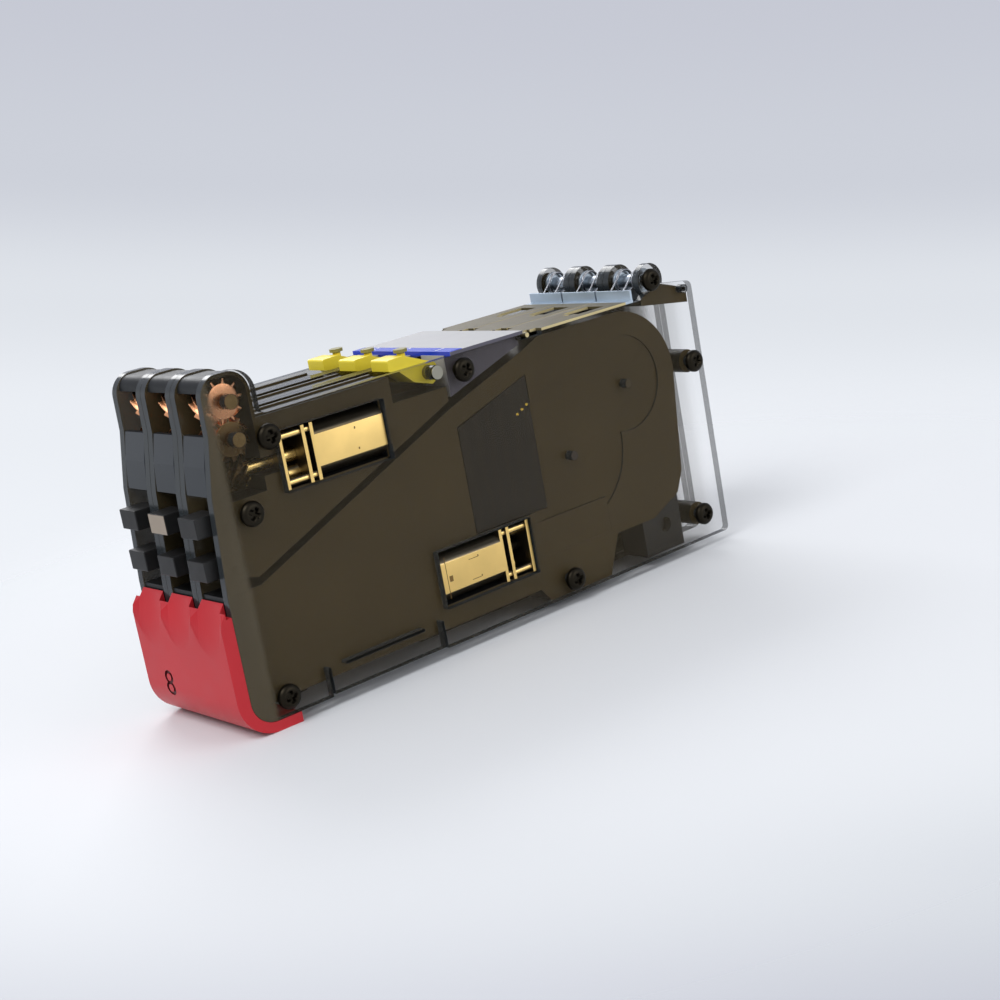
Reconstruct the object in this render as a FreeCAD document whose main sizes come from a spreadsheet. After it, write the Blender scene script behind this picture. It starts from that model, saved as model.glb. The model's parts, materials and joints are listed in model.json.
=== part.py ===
import FreeCAD, Part
import math
import os
import re
import Sketcher

# Three-lane feeder for 8 mm component tape.
# X runs from the operator's end to the machine's end, Y crosses the lanes and Z points up.
# The origin is at the bottom centre of the whole feeder. Lengths are in millimetres, angles in degrees.

SIZES = {
    # Width of a lane
    "tape_room": 8.2,
    "plate_skin": 1.85,
    "lane_gap": 0.1,
    "side_play": 0.05,
    # Outline of the side plates, measured back from their front edge and up from their lower edge
    "body_length": 138.6,
    "deck_rise": 60.9,
    "corner_low": 5.5,
    "corner_tail": 1.2,
    "ledge_rise": 27.4,
    "chute_foot_back": 1.3,
    "chute_foot_rise": 47.6,
    "sill_back": 3.4,
    "sill_rise": 59.3,
    "hump_front_back": 3.7,
    "hump_back": 16.0,
    "hump_rise": 70.9,
    "hump_front_round": 4.5,
    "hump_rear_round": 5.0,
    "hump_foot_round": 1.2,
    "table_edge_drop": 0.5,
    "tongue_edge_drop": 1.2,
    "ear_side_rise": 61.6,
    "ear_top_rise": 63.4,
    "ear_round": 1.6,
    "ear_hole_in": 2.4,
    "ear_hole_rise": 60.1,
    "ear_hole_wide": 2.0,
    "flex_tab_back": 19.2,
    "flex_tab_long": 30.0,
    "flex_tab_rise": 6.2,
    "flex_slit": 0.6,
    "flex_tab_lift": 0.4,
    "flex_neck": 4.6,
    # Screws through both plates
    "screw_shank": 2.5,
    "screw_play": 0.1,
    "screw_head_wide": 5.2,
    "screw_head_tall": 1.5,
    "neck_screw_back": 16.6,
    "neck_screw_rise": 56.1,
    "front_screw_back": 9.2,
    "front_screw_rise": 42.3,
    "foot_screw_back": 8.7,
    "foot_screw_rise": 4.0,
    "cover_screw_back": 67.2,
    "cover_screw_rise": 57.3,
    "lug_screw_in": 50.8,
    "lug_screw_rise": 3.5,
    "tail_screw_in": 3.3,
    "tail_screw_rise": 42.8,
    "heel_screw_in": 7.8,
    "heel_screw_rise": 6.2,
    "table_step_back": 5.5,
    "tongue_edge_in": 0.8,
    # Film peeler at the operator's end
    "peel_module": 0.76,
    "peel_teeth": 10,
    "peel_face": 5.4,
    "peel_back": 10.1,
    "lower_gear_rise": 57.1,
    "peel_mesh_play": 0.1,
    "gear_shaft": 3.0,
    "running_play": 0.05,
    "pinion_teeth": 8,
    "pinion_long": 4.4,
    "pinion_mesh_play": 0.16,
    "pinion_overhang": 0.3,
    "pinion_floor_gap": 1.8,
    # Gear motors
    "motor_tall": 12.0,
    "motor_wide": 10.0,
    "motor_plate": 0.8,
    "gearbox_long": 8.6,
    "can_long": 17.3,
    "motor_shaft": 3.0,
    "motor_gap": 0.4,
    "peel_motor_back": 19.2,
    "drive_motor_in": 60.6,
    "drive_motor_rise": 14.5,
    "mid_plate_share": 3.6,
    "pillar_in": 1.2,
    "pillar_wide": 1.6,
    "stage_wide": 3.4,
    "stage_gap": 2.3,
    "front_stage_end": 2.6,
    "rear_stage_start": 3.0,
    # Tape drive at the machine's end
    "drive_module": 0.7,
    "wheel_teeth": 38,
    "sprocket_gear_teeth": 28,
    "worm_pitch_wide": 6.0,
    "worm_long": 11.0,
    "worm_shaft_end": 2.4,
    "drive_face": 2.5,
    "drive_side_gap": 0.65,
    "hub_long": 0.5,
    "drive_backlash": 0.25,
    "worm_thinning": 0.05,
    "axle_wide": 2.0,
    "wheel_in": 44.6,
    "tape_pitch": 4.0,
    "sprocket_teeth": 26,
    "sprocket_thick": 1.0,
    "sprocket_tooth_tall": 0.8,
    "sprocket_tooth_wide": 1.3,
    "hole_row_from_centre": 2.25,
    "worm_floor_gap": 1.1,
    "worm_room_gap": 1.6,
    "worm_room_back": 8.9,
    "worm_room_rise": 4.0,
    "shaft_way_lead": 0.5,
    "shaft_way_back": 13.7,
    "disc_side_gap": 0.2,
    "drive_tip_share": 0.85,
    "link_gear_in": 4.2,
    "link_gear_rise": 0.5,
    "link_wheel_in": 9.0,
    "link_wheel_rise": 12.4,
    # Tape path
    "tape_slot": 1.62,
    "entry_long": 9.1,
    "ramp_back": 63.2,
    "ramp_rise": 51.2,
    "table_rise": 59.2,
    "frame_floor_rise": 3.4,
    "frame_underside_rise": 9.1,
    "tail_foot_in": 21.9,
    "tail_chin_in": 13.1,
    "tail_chin_rise": 13.0,
    "tail_back_in": 10.7,
    "tail_back_rise": 17.8,
    "relief_deep": 0.4,
    "wheel_relief": 3.5,
    "sprocket_relief": 1.4,
    "gear_room": 0.6,
    "entry_lip": 0.9,
    "frame_end_gap": 1.2,
    "frame_front_in": 0.3,
    "lug_front_long": 6.1,
    "lug_back_long": 12.8,
    "lug_front_slope": 2.5,
    "lug_back_slope": 4.0,
    "table_step_drop": 2.3,
    "round_trim": 0.01,
    # Film deck, lever and cover
    "shell": 0.8,
    "hump_inset": 0.2,
    "hump_front_inset": 0.8,
    "hump_top_inset": 0.4,
    "film_window_drop": 2.9,
    "deck_step": 0.8,
    "rail_tall": 0.8,
    "rail_wide": 0.9,
    "rail_from_centre": 2.2,
    "lever_front_back": 50.2,
    "lever_pin_back": 60.1,
    "lever_pin_rise": 58.4,
    "lever_pin_wide": 3.0,
    "lever_wide": 6.0,
    "lever_rest_gap": 0.3,
    "lever_bed_gap": 1.2,
    "lever_bed_drop": 3.9,
    "lever_block_tall": 2.35,
    "lever_block_long": 4.3,
    "lever_block_slope": 0.1,
    "lever_nose_round": 0.5,
    "lever_heel_long": 2.6,
    "lever_heel_half": 1.6,
    "lever_heel_round": 1.2,
    "lever_heel_foot": 0.8,
    "lever_heel_drop": 2.7,
    "lever_arm_in": 3.9,
    "lever_arm_drop": 1.2,
    "lever_chin_in": 2.6,
    "lever_chin_drop": 0.6,
    "peg_in": 6.0,
    "peg_wide": 1.8,
    "peg_sink": 1.0,
    "peg_rise": 0.7,
    "peg_cap_wide": 3.0,
    "peg_cap_low": 0.5,
    "peg_cap_top": 1.2,
    "cover_start_back": 64.6,
    "cover_end_back": 85.2,
    "cover_thick": 0.75,
    "wedge_front_gap": 0.4,
    "wedge_ramp_gap": 0.4,
    "wedge_end_gap": 0.2,
    "wedge_foot_drop": 0.6,
    # Pick plate and its springs
    "pick_thick": 0.6,
    "pick_lip_tall": 2.3,
    "pick_end_in": 19.2,
    "pick_side_gap": 0.1,
    "pick_window_long": 8.0,
    "pick_window_wide": 5.6,
    "pick_window_in": 25.6,
    "pick_start_gap": 0.35,
    "pick_step_back": 5.6,
    "tongue_side_gap": 0.2,
    "tongue_notch_start": 2.6,
    "tongue_notch_end": 3.8,
    "tongue_notch_deep": 1.0,
    "pick_tongue_long": 1.8,
    "pick_tongue_far": 0.6,
    "pick_tongue_near": 0.9,
    "lip_side_gap": 0.1,
    "pick_rod_in": 1.3,
    "pick_rod_wide": 1.1,
    "spring_shaft_wide": 3.0,
    "spring_shaft_in": 13.0,
    "spring_shaft_rise": 64.4,
    "boss_round": 3.9,
    "spring_wire": 0.5,
    "spring_coil_wide": 5.2,
    "spring_from_centre": 2.4,
    "spring_coil_long": 1.5,
    "shaft_end_in": 0.1,
    "ring_rim": 2.6,
    "ring_half_thick": 0.3,
    "leg_gap": 0.1,
    "ear_block_in": 2.2,
    "ear_block_drop": 5.7,
    "ear_tail_gap": 0.2,
    "ear_tail_drop": 7.9,
    "ear_hollow_in": 4.6,
    "ear_hollow_drop": 1.8,
    "ear_front_drop": 4.1,
    # Buttons at the operator's end
    "chute_thick": 1.2,
    "chute_front_gap": 0.2,
    "chute_bow": 0.3,
    "recess_back": 6.2,
    "button_wide": 6.6,
    "button_tall": 4.2,
    "button_out": 2.1,
    "button_long": 5.8,
    "button_stem": 2.4,
    "button_stem_in": 0.5,
    "button_travel": 0.6,
    "stem_end_gap": 0.2,
    "upper_button_rise": 42.0,
    "lower_button_rise": 33.2,
    # Foot
    "foot_wall": 3.0,
    "foot_sole": 2.2,
    "foot_long": 11.0,
    "foot_top_rise": 26.4,
    "foot_top_slope": 3.3,
    "foot_round": 8.5,
    "scoop_round": 12.0,
    "scoop_deep": 1.6,
    "scoop_long": 6.5,
    "foot_seat": 0.05,
    "foot_lip": 0.3,
    "notch_play": 0.2,
    "notch_rise": 0.6,
    "notch_reach": 1.3,
    # Control board, standoffs and contact block
    "board_thick": 1.4,
    "board_back": 64.4,
    "board_end_back": 85.2,
    "board_foot_rise": 21.2,
    "board_top_rise": 47.0,
    "board_gap": 0.2,
    "board_rear_rise": 4.6,
    "board_front_drop": 2.0,
    "standoff_wide": 5.5,
    "contact_in": 25.9,
    "contact_long": 12.4,
    "contact_foot_rise": 0.4,
    "contact_socket_wide": 3.4,
    "contact_socket_deep": 2.0,
    "contact_socket_in": 18.6,
    "contact_socket_rise": 6.6,
}

PLACES = {
    "half_room": "tape_room / 2",
    "half_frame": "tape_room / 2 - side_play",
    "half_lane": "tape_room / 2 + plate_skin",
    "lane_pitch": "tape_room + 2 * plate_skin + lane_gap",
    "half_stack": "1.5 * tape_room + 3 * plate_skin + lane_gap",
    "front_edge": "(foot_wall - body_length) / 2",
    "tail_edge": "(foot_wall + body_length) / 2",
    "base": "foot_sole",
    "deck": "base + deck_rise",
    "table": "base + table_rise",
    "hump_top": "base + hump_rise",
    "hump_end": "front_edge + hump_back",
    "ledge": "base + ledge_rise",
    "peel_x": "front_edge + peel_back",
    "lower_gear_z": "base + lower_gear_rise",
    "peel_round": "peel_module * peel_teeth / 2",
    "upper_gear_z": "lower_gear_z + 2 * peel_round + peel_mesh_play",
    "pinion_round": "peel_module * pinion_teeth / 2",
    "peel_motor_z": "lower_gear_z - peel_round - pinion_round - pinion_mesh_play",
    "peel_motor_x": "front_edge + peel_motor_back",
    "drive_motor_x": "tail_edge - drive_motor_in",
    "drive_motor_z": "base + drive_motor_rise",
    "wheel_round": "drive_module * wheel_teeth / 2",
    "wheel_x": "tail_edge - wheel_in",
    "wheel_z": "drive_motor_z + wheel_round + worm_pitch_wide / 2",
    "sprocket_round": "tape_pitch * sprocket_teeth / (2 * pi)",
    "sprocket_z": "table - sprocket_round",
    "sprocket_gear_round": "drive_module * sprocket_gear_teeth / 2",
    "drive_centres": "wheel_round + sprocket_gear_round",
    "sprocket_x": "wheel_x + sqrt(drive_centres ^ 2 - (sprocket_z - wheel_z) ^ 2)",
    "recess_wall": "front_edge + recess_back",
    "frame_underside": "base + frame_underside_rise",
    "tail_foot_x": "tail_edge - tail_foot_in",
    "tail_chin_x": "tail_edge - tail_chin_in",
    "tail_chin_z": "base + tail_chin_rise",
    "ramp_x": "front_edge + ramp_back",
    "ramp_z": "base + ramp_rise",
    "entry_x": "front_edge + entry_long",
    "cover_start": "front_edge + cover_start_back",
    "cover_end": "front_edge + cover_end_back",
    "lever_pin_x": "front_edge + lever_pin_back",
    "lever_pin_z": "base + lever_pin_rise",
    "lever_front": "front_edge + lever_front_back",
    "rail_top": "deck - deck_step + rail_tall - 0.4 * deck_step",
    "shaft_x": "tail_edge - spring_shaft_in",
    "shaft_z": "base + spring_shaft_rise",
    "pick_end": "tail_edge - pick_end_in",
    "pick_low": "deck - table_edge_drop",
    "pick_half": "half_lane - pick_side_gap",
    "tail_screw_x": "tail_edge - tail_screw_in",
    "heel_screw_x": "tail_edge - heel_screw_in",
}

LANES = (1, 2, 3)
MIDDLE_LANE = 2

# How finely the forms made in code are worked out
PRESSURE_ANGLE = 20.0
TIP_SHARE = 0.85
ROOT_SHARE = 1.15
PEEL_TIP_SHARE = 1.0
PEEL_ROOT_SHARE = 1.2
PINION_TIP_SHARE = 0.72
PEEL_SLACK = 0.14
HELIX_SPANS = 5
PINION_SPANS = 5
THREAD_STEPS = 9
THREAD_SINK = 0.35

doc = FreeCAD.newDocument("TapeFeeder")


def with_sheet_names(formula, sheets):
    """The formula with each cell's name put behind the name of its sheet."""

    def add_sheet(match):
        word = match.group()
        for sheet_name, cells in sheets.items():
            if word in cells:
                return f"{sheet_name}.{word}"
        return word

    return re.sub(r"[a-z]\w*", add_sheet, formula)


def bound(formula):
    """A formula of size and place names, as the document's expressions want it."""
    return with_sheet_names(formula, {"Sizes": SIZES, "Places": PLACES})


def fill_sheet(name, contents):
    """A sheet with each name in column A and its number or formula in column B."""
    sheet = doc.addObject("Spreadsheet::Sheet", name)
    for row, (alias, content) in enumerate(contents.items(), start=1):
        sheet.set(f"A{row}", alias)
        sheet.set(f"B{row}", content)
        sheet.setAlias(f"B{row}", alias)
    return sheet


sizes = fill_sheet("Sizes", {name: str(value) for name, value in SIZES.items()})
places = fill_sheet(
    "Places",
    {name: "=" + with_sheet_names(formula, {"Sizes": SIZES}) for name, formula in PLACES.items()},
)
doc.recompute()


def size(name):
    """The number in a cell of the sizes."""
    return float(sizes.get(name))


def place(name):
    """The number in a cell of the places."""
    return float(places.get(name))


def circle(x, z, wide):
    """A round loop of a sketch: its centre and its width."""
    return ("circle", x, z, wide)


def box(x_low, z_low, x_high, z_high):
    """A rectangular loop of a sketch."""
    return [(x_low, z_low), (x_high, z_low), (x_high, z_high), (x_low, z_high)]


def lane_shift(lane):
    """How far a lane lies from the middle one."""
    return f"({lane} - {MIDDLE_LANE}) * lane_pitch"


class Piece:
    """A body built up from slabs, each a sketch on an origin plane and a reach along its axis.

    The plane "side" holds X and Z and its slabs reach along Y, "end" holds Y and Z and
    reaches along X, and "top" holds X and Y and reaches along Z.
    """

    PLANES = {"side": "XZ_Plane", "end": "YZ_Plane", "top": "XY_Plane"}

    def __init__(self, label, across="0"):
        self.body = doc.addObject("PartDesign::Body", label)
        self.body.Label = label
        self.body.setExpression("Placement.Base.y", bound(across))

    def sketch(self, plane, loops, start):
        """A sketch whose every corner, centre and width is tied to the sheets."""
        sketch = self.body.newObject("Sketcher::SketchObject", "Outline")
        roles = {feature.Role: feature for feature in self.body.Origin.OriginFeatures}
        sketch.AttachmentSupport = [(roles[self.PLANES[plane]], "")]
        sketch.MapMode = "FlatFace"
        sketch.AttachmentOffset = FreeCAD.Placement()
        side = "-1" if plane == "side" else "1"
        sketch.setExpression("AttachmentOffset.Base.z", bound(f"{side} * ({start})"))
        for loop in loops:
            if loop[0] == "circle":
                self.draw_circle(sketch, *loop[1:])
            else:
                self.draw_polygon(sketch, loop)
        return sketch

    @staticmethod
    def tie(sketch, kind, where, formula):
        """One constraint of a sketch, driven by a formula."""
        number = sketch.addConstraint(Sketcher.Constraint(kind, *where, 1.0))
        sketch.setExpression(f"Constraints[{number}]", bound(formula))

    def draw_circle(self, sketch, x, z, wide):
        ring = sketch.addGeometry(Part.Circle(FreeCAD.Vector(1, 1, 0), FreeCAD.Vector(0, 0, 1), 1))
        self.tie(sketch, "Diameter", (ring,), wide)
        self.tie(sketch, "DistanceX", (-1, 1, ring, 3), x)
        self.tie(sketch, "DistanceY", (-1, 1, ring, 3), z)

    def draw_polygon(self, sketch, corners):
        count = len(corners)
        turn = 2 * math.pi / count
        spots = [FreeCAD.Vector(math.cos(k * turn), math.sin(k * turn), 0) for k in range(count)]
        first = sketch.GeometryCount
        for k in range(count):
            sketch.addGeometry(Part.LineSegment(spots[k], spots[(k + 1) % count]))
        for k in range(count):
            after = first + (k + 1) % count
            sketch.addConstraint(Sketcher.Constraint("Coincident", first + k, 2, after, 1))
        for k, (x, z) in enumerate(corners):
            self.tie(sketch, "DistanceX", (-1, 1, first + k, 1), x)
            self.tie(sketch, "DistanceY", (-1, 1, first + k, 1), z)

    def add(self, plane, loops, start, end):
        """Adds the loops' slab between two levels of the plane's own axis."""
        sketch = self.sketch(plane, loops, start)
        pad = self.body.newObject("PartDesign::Pad", "Slab")
        pad.Profile = sketch
        pad.setExpression("Length", bound(f"({end}) - ({start})"))
        pad.Reversed = plane == "side"
        return sketch

    def cut(self, plane, loops, start, end):
        """Cuts the loops' slab away between two levels of the plane's own axis."""
        sketch = self.sketch(plane, loops, start)
        pocket = self.body.newObject("PartDesign::Pocket", "Opening")
        pocket.Profile = sketch
        pocket.setExpression("Length", bound(f"({end}) - ({start})"))
        pocket.Reversed = plane != "side"
        return sketch

    def soften(self, sketch, corners, radius):
        """Rounds the edges that run straight through the sketch plane at these corners."""
        doc.recompute()
        tip = self.body.Tip
        spots = [sketch.getGlobalPlacement().multVec(sketch.Geometry[k].StartPoint) for k in corners]
        shift = self.body.Placement.Base
        axis = sketch.getGlobalPlacement().Rotation.multVec(FreeCAD.Vector(0, 0, 1))
        names = []
        for number, edge in enumerate(tip.Shape.Edges, start=1):
            if edge.Curve.TypeId != "Part::GeomLine":
                continue
            if abs(abs(edge.tangentAt(edge.FirstParameter).dot(axis)) - 1) > 1e-6:
                continue
            middle = edge.CenterOfMass + shift
            if any(((middle - spot).cross(axis)).Length < 1e-4 for spot in spots):
                names.append(f"Edge{number}")
        fillet = self.body.newObject("PartDesign::Fillet", "Rounding")
        fillet.Base = (tip, names)
        fillet.setExpression("Radius", bound(radius))
        return fillet


def through_screws():
    """Centre of each screw that goes through the plates, in the side view."""
    return {
        "neck": ("front_edge + neck_screw_back", "base + neck_screw_rise"),
        "front": ("front_edge + front_screw_back", "base + front_screw_rise"),
        "foot": ("front_edge + foot_screw_back", "base + foot_screw_rise"),
        "cover": ("front_edge + cover_screw_back", "base + cover_screw_rise"),
        "lug": ("tail_edge - lug_screw_in", "base + lug_screw_rise"),
        "tail": ("tail_screw_x", "base + tail_screw_rise"),
        "heel": ("heel_screw_x", "base + heel_screw_rise"),
    }


def screw_holes(*names):
    """Clearance holes for the named screws."""
    centres = through_screws()
    return [circle(*centres[name], "screw_shank + 2 * screw_play") for name in names]


def motor_opening(face, direction, height, gap):
    """The rectangle that a lying gear motor needs in the side view."""
    far = f"({face}) {direction} (gearbox_long + can_long + {gap})"
    near = f"({face}) {'-' if direction == '+' else '+'} {gap}"
    low, high = (near, far) if direction == "+" else (far, near)
    return box(low, f"{height} - motor_tall / 2 - {gap}", high, f"{height} + motor_tall / 2 + {gap}")


def side_plate(lane, near):
    """One of the two smoked plates of a lane, with its hump, its ear and every opening."""
    side = "near" if near else "far"
    piece = Piece(f"lane{lane}_{side}_plate", lane_shift(lane))
    start, end = ("-half_lane", "-half_room") if near else ("half_room", "half_lane")
    step_x = "cover_end + table_step_back"
    outline = [
        ("front_edge", "base"),
        ("tail_edge", "base"),
        ("tail_edge", "base + ear_side_rise"),
        ("shaft_x", "base + ear_top_rise"),
        ("shaft_x - boss_round", "deck - table_edge_drop"),
        (step_x, "deck - table_edge_drop"),
        (step_x, "deck - tongue_edge_drop"),
        ("cover_end - tongue_edge_in", "deck - tongue_edge_drop"),
        ("cover_end - tongue_edge_in", "deck"),
        ("hump_end", "deck"),
        ("hump_end", "hump_top"),
        ("front_edge + hump_front_back", "hump_top"),
        ("front_edge + sill_back", "base + sill_rise"),
        ("front_edge + chute_foot_back", "base + chute_foot_rise"),
        ("front_edge", "ledge"),
    ]
    sketch = piece.add("side", [outline], start, end)
    piece.soften(sketch, [0], "corner_low")
    piece.soften(sketch, [1], "corner_tail")
    piece.soften(sketch, [2], "ear_round")
    piece.soften(sketch, [9], "hump_foot_round")
    piece.soften(sketch, [10], "hump_rear_round")
    piece.soften(sketch, [11], "hump_front_round")
    piece.add("side", [circle("shaft_x", "shaft_z", "2 * boss_round")], start, end)
    bore = "gear_shaft + 2 * running_play"
    axle_bore = "axle_wide + 2 * running_play"
    tab_x = "front_edge + flex_tab_back"
    tab_end = f"{tab_x} + flex_tab_long"
    flex_tab = [
        (tab_x, "base - flex_slit"),
        (f"{tab_end} + flex_slit", "base - flex_slit"),
        (f"{tab_end} + flex_slit", "base + flex_tab_rise"),
        (tab_end, "base + flex_tab_rise"),
        (tab_end, "base + flex_tab_lift"),
        (f"{tab_x} + flex_slit", "base + flex_tab_lift"),
        (f"{tab_x} + flex_slit", "base + flex_tab_rise"),
        (tab_x, "base + flex_tab_rise"),
    ]
    openings = screw_holes("neck", "front", "foot", "cover", "lug", "tail", "heel")
    openings += [
        circle("peel_x", "lower_gear_z", bore),
        circle("peel_x", "upper_gear_z", bore),
        circle("wheel_x", "wheel_z", axle_bore),
        circle("sprocket_x", "sprocket_z", axle_bore),
        circle("lever_pin_x", "lever_pin_z", "lever_pin_wide + 2 * running_play"),
        circle("shaft_x", "shaft_z", "spring_shaft_wide + 2 * running_play"),
        circle("tail_edge - ear_hole_in", "base + ear_hole_rise", "ear_hole_wide"),
        motor_opening("peel_motor_x", "+", "peel_motor_z", "motor_gap"),
        motor_opening("drive_motor_x", "-", "drive_motor_z", "motor_gap"),
        box(
            f"{tab_x} + flex_neck",
            "base + flex_tab_rise - flex_slit",
            f"{tab_end} - flex_neck",
            "base + flex_tab_rise",
        ),
    ]
    piece.cut("side", openings, start, end)
    piece.cut("side", [flex_tab], start, end)
    return piece


def ramp_height(x, drop="0"):
    """Height of the slanted roof of the tape's way in, at a place along the feeder."""
    slope = "(ramp_z - ledge - tape_slot) / (ramp_x - entry_x)"
    return f"ledge + tape_slot + ({x} - entry_x) * {slope} - {drop}"


def upper_frame(lane):
    """The block above the tape's way: film deck, hump shell, peel motor bed and button wall."""
    piece = Piece(f"lane{lane}_upper_frame", lane_shift(lane))
    front = "front_edge + hump_front_back + hump_front_inset"
    top = "hump_top - hump_top_inset"
    wall_foot = f"{top} - film_window_drop"
    floor = "peel_motor_z - pinion_round - pinion_floor_gap"
    cavity_end = "hump_end - hump_inset - shell"
    deck_level = "deck - deck_step"
    bed_end = "lever_front - lever_bed_gap"
    bed_level = "lever_pin_z - lever_bed_drop"
    block_end = "cover_start - frame_end_gap"
    outline = [
        (front, wall_foot),
        (front, top),
        ("hump_end - hump_inset", top),
        ("hump_end - hump_inset", deck_level),
        (bed_end, deck_level),
        (bed_end, bed_level),
        (block_end, bed_level),
        (block_end, ramp_height(block_end)),
        ("entry_x", "ledge + tape_slot"),
        ("recess_wall", "ledge + tape_slot + entry_lip"),
        ("recess_wall", floor),
        (cavity_end, floor),
        (cavity_end, f"{top} - shell"),
        (f"{front} + shell", f"{top} - shell"),
        (f"{front} + shell", wall_foot),
    ]
    sketch = piece.add("side", [outline], "-half_frame", "half_frame")
    front_round = "film_window_drop - shell / 8"
    piece.soften(sketch, [13], f"{front_round} - shell")
    piece.soften(sketch, [12], "hump_rear_round - hump_top_inset - shell")
    piece.soften(sketch, [1], front_round)
    piece.soften(sketch, [2], "hump_rear_round - hump_top_inset")
    rail = "rail_from_centre + rail_wide"
    rails = [
        box("hump_end", "rail_from_centre", bed_end, rail),
        box("hump_end", f"-({rail})", bed_end, "-rail_from_centre"),
    ]
    piece.add("top", rails, deck_level, "rail_top")
    motor_bed = motor_opening("peel_motor_x", "+", "peel_motor_z", "side_play")
    piece.cut("side", [motor_bed] + screw_holes("neck", "front"), "-half_frame", "half_frame")
    shaft_way = circle("0", "peel_motor_z", "motor_shaft + 4 * running_play")
    piece.cut("end", [shaft_way], cavity_end, "peel_motor_x")
    for rise in ("upper_button_rise", "lower_button_rise"):
        half_hole = "button_stem / 2 + 2 * running_play"
        stem_hole = box(
            f"-({half_hole})", f"base + {rise} - ({half_hole})", half_hole, f"base + {rise} + {half_hole}"
        )
        stem_depth = "button_stem_in + button_travel + stem_end_gap"
        piece.cut("end", [stem_hole], "recess_wall", f"recess_wall + {stem_depth}")
    return piece


def lower_frame(lane):
    """The block under the tape's way, with the tape table and the room for the drive."""
    piece = Piece(f"lane{lane}_lower_frame", lane_shift(lane))
    foot_level = "base + frame_floor_rise"
    lug_front = "tail_edge - lug_screw_in - lug_front_long"
    lug_back = "tail_edge - lug_screw_in + lug_back_long"
    tail = "sprocket_x + sprocket_round"
    step_x = "cover_end + table_step_back"
    outline = [
        ("front_edge + frame_front_in", foot_level),
        (f"{lug_front} - lug_front_slope", foot_level),
        (lug_front, "base + side_play"),
        (lug_back, "base + side_play"),
        (f"{lug_back} + lug_back_slope", "frame_underside"),
        ("tail_foot_x", "frame_underside"),
        ("tail_chin_x", "tail_chin_z"),
        ("tail_edge - tail_back_in", "base + tail_back_rise"),
        (tail, "sprocket_z"),
        (tail, "table"),
        (step_x, "table"),
        ("cover_end", "table - table_step_drop"),
        ("ramp_x", "ramp_z - tape_slot"),
        ("entry_x", "ledge"),
        ("front_edge + frame_front_in", "ledge"),
    ]
    sketch = piece.add("side", [outline], "-half_frame", "half_frame")
    piece.soften(sketch, [0], "corner_low - frame_floor_rise / 2")
    piece.soften(sketch, [9], "sprocket_round - round_trim")
    motor_bed = motor_opening("drive_motor_x", "-", "drive_motor_z", "side_play")
    worm_room = "drive_motor_z - worm_pitch_wide / 2 - worm_floor_gap"
    worm_way = box(
        "drive_motor_x + worm_room_gap", worm_room, "wheel_x + worm_room_back", "drive_motor_z + worm_room_rise"
    )
    piece.cut("side", [motor_bed] + screw_holes("foot", "lug"), "-half_frame", "half_frame")
    axle_bore = "axle_wide + 2 * running_play"
    axle_bores = [circle("wheel_x", "wheel_z", axle_bore), circle("sprocket_x", "sprocket_z", axle_bore)]
    piece.cut("side", [worm_way] + axle_bores, "-half_frame", "half_frame")
    shaft_way = circle("0", "drive_motor_z", "motor_shaft + 4 * running_play")
    piece.cut("end", [shaft_way], "drive_motor_x - shaft_way_lead", "wheel_x + shaft_way_back")
    near_wall = "-(drive_face / 2 + drive_side_gap)"
    sprocket_wall = "hole_row_from_centre - sprocket_thick / 2 - disc_side_gap"
    wheel_ring = "2 * (wheel_round + drive_module * drive_tip_share + gear_room)"
    gear_ring = "2 * (sprocket_gear_round + drive_module * drive_tip_share + gear_room)"
    sprocket_room = "2 * (sprocket_round + sprocket_tooth_tall + gear_room)"
    link = [
        ("wheel_x", "wheel_z"),
        ("sprocket_x", "sprocket_z"),
        ("sprocket_x - link_gear_in", "sprocket_z + sprocket_gear_round + link_gear_rise"),
        ("wheel_x - link_wheel_in", "wheel_z + link_wheel_rise"),
    ]
    piece.cut("side", [circle("wheel_x", "wheel_z", wheel_ring)], near_wall, "half_frame")
    piece.cut("side", [circle("sprocket_x", "sprocket_z", gear_ring)], near_wall, sprocket_wall)
    piece.cut("side", [link], near_wall, "half_frame")
    piece.cut("side", [circle("sprocket_x", "sprocket_z", sprocket_room)], sprocket_wall, "half_frame")
    relief_end = "relief_deep - half_frame"
    wheel_relief = circle("wheel_x", "wheel_z", "2 * (wheel_round + wheel_relief)")
    sprocket_relief = circle("sprocket_x", "sprocket_z", "2 * (sprocket_gear_round + sprocket_relief)")
    piece.cut("side", [wheel_relief], "-half_frame", relief_end)
    piece.cut("side", [sprocket_relief], "-half_frame", relief_end)
    piece.cut("side", [link], "-half_frame", relief_end)
    board_bed = board_outline("board_gap")
    piece.cut("side", [board_bed], "-half_frame", "board_thick + side_play - half_frame")
    return piece


def board_outline(gap):
    """Outline of the control board in the side view, with a gap all round."""
    low_x = f"front_edge + board_back - {gap}"
    high_x = f"front_edge + board_end_back + {gap}"
    return [
        (low_x, f"base + board_foot_rise - {gap}"),
        (high_x, f"base + board_foot_rise - {gap}"),
        (high_x, f"base + board_top_rise + board_rear_rise + {gap}"),
        (low_x, f"base + board_top_rise - board_front_drop + {gap}"),
    ]


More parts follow.
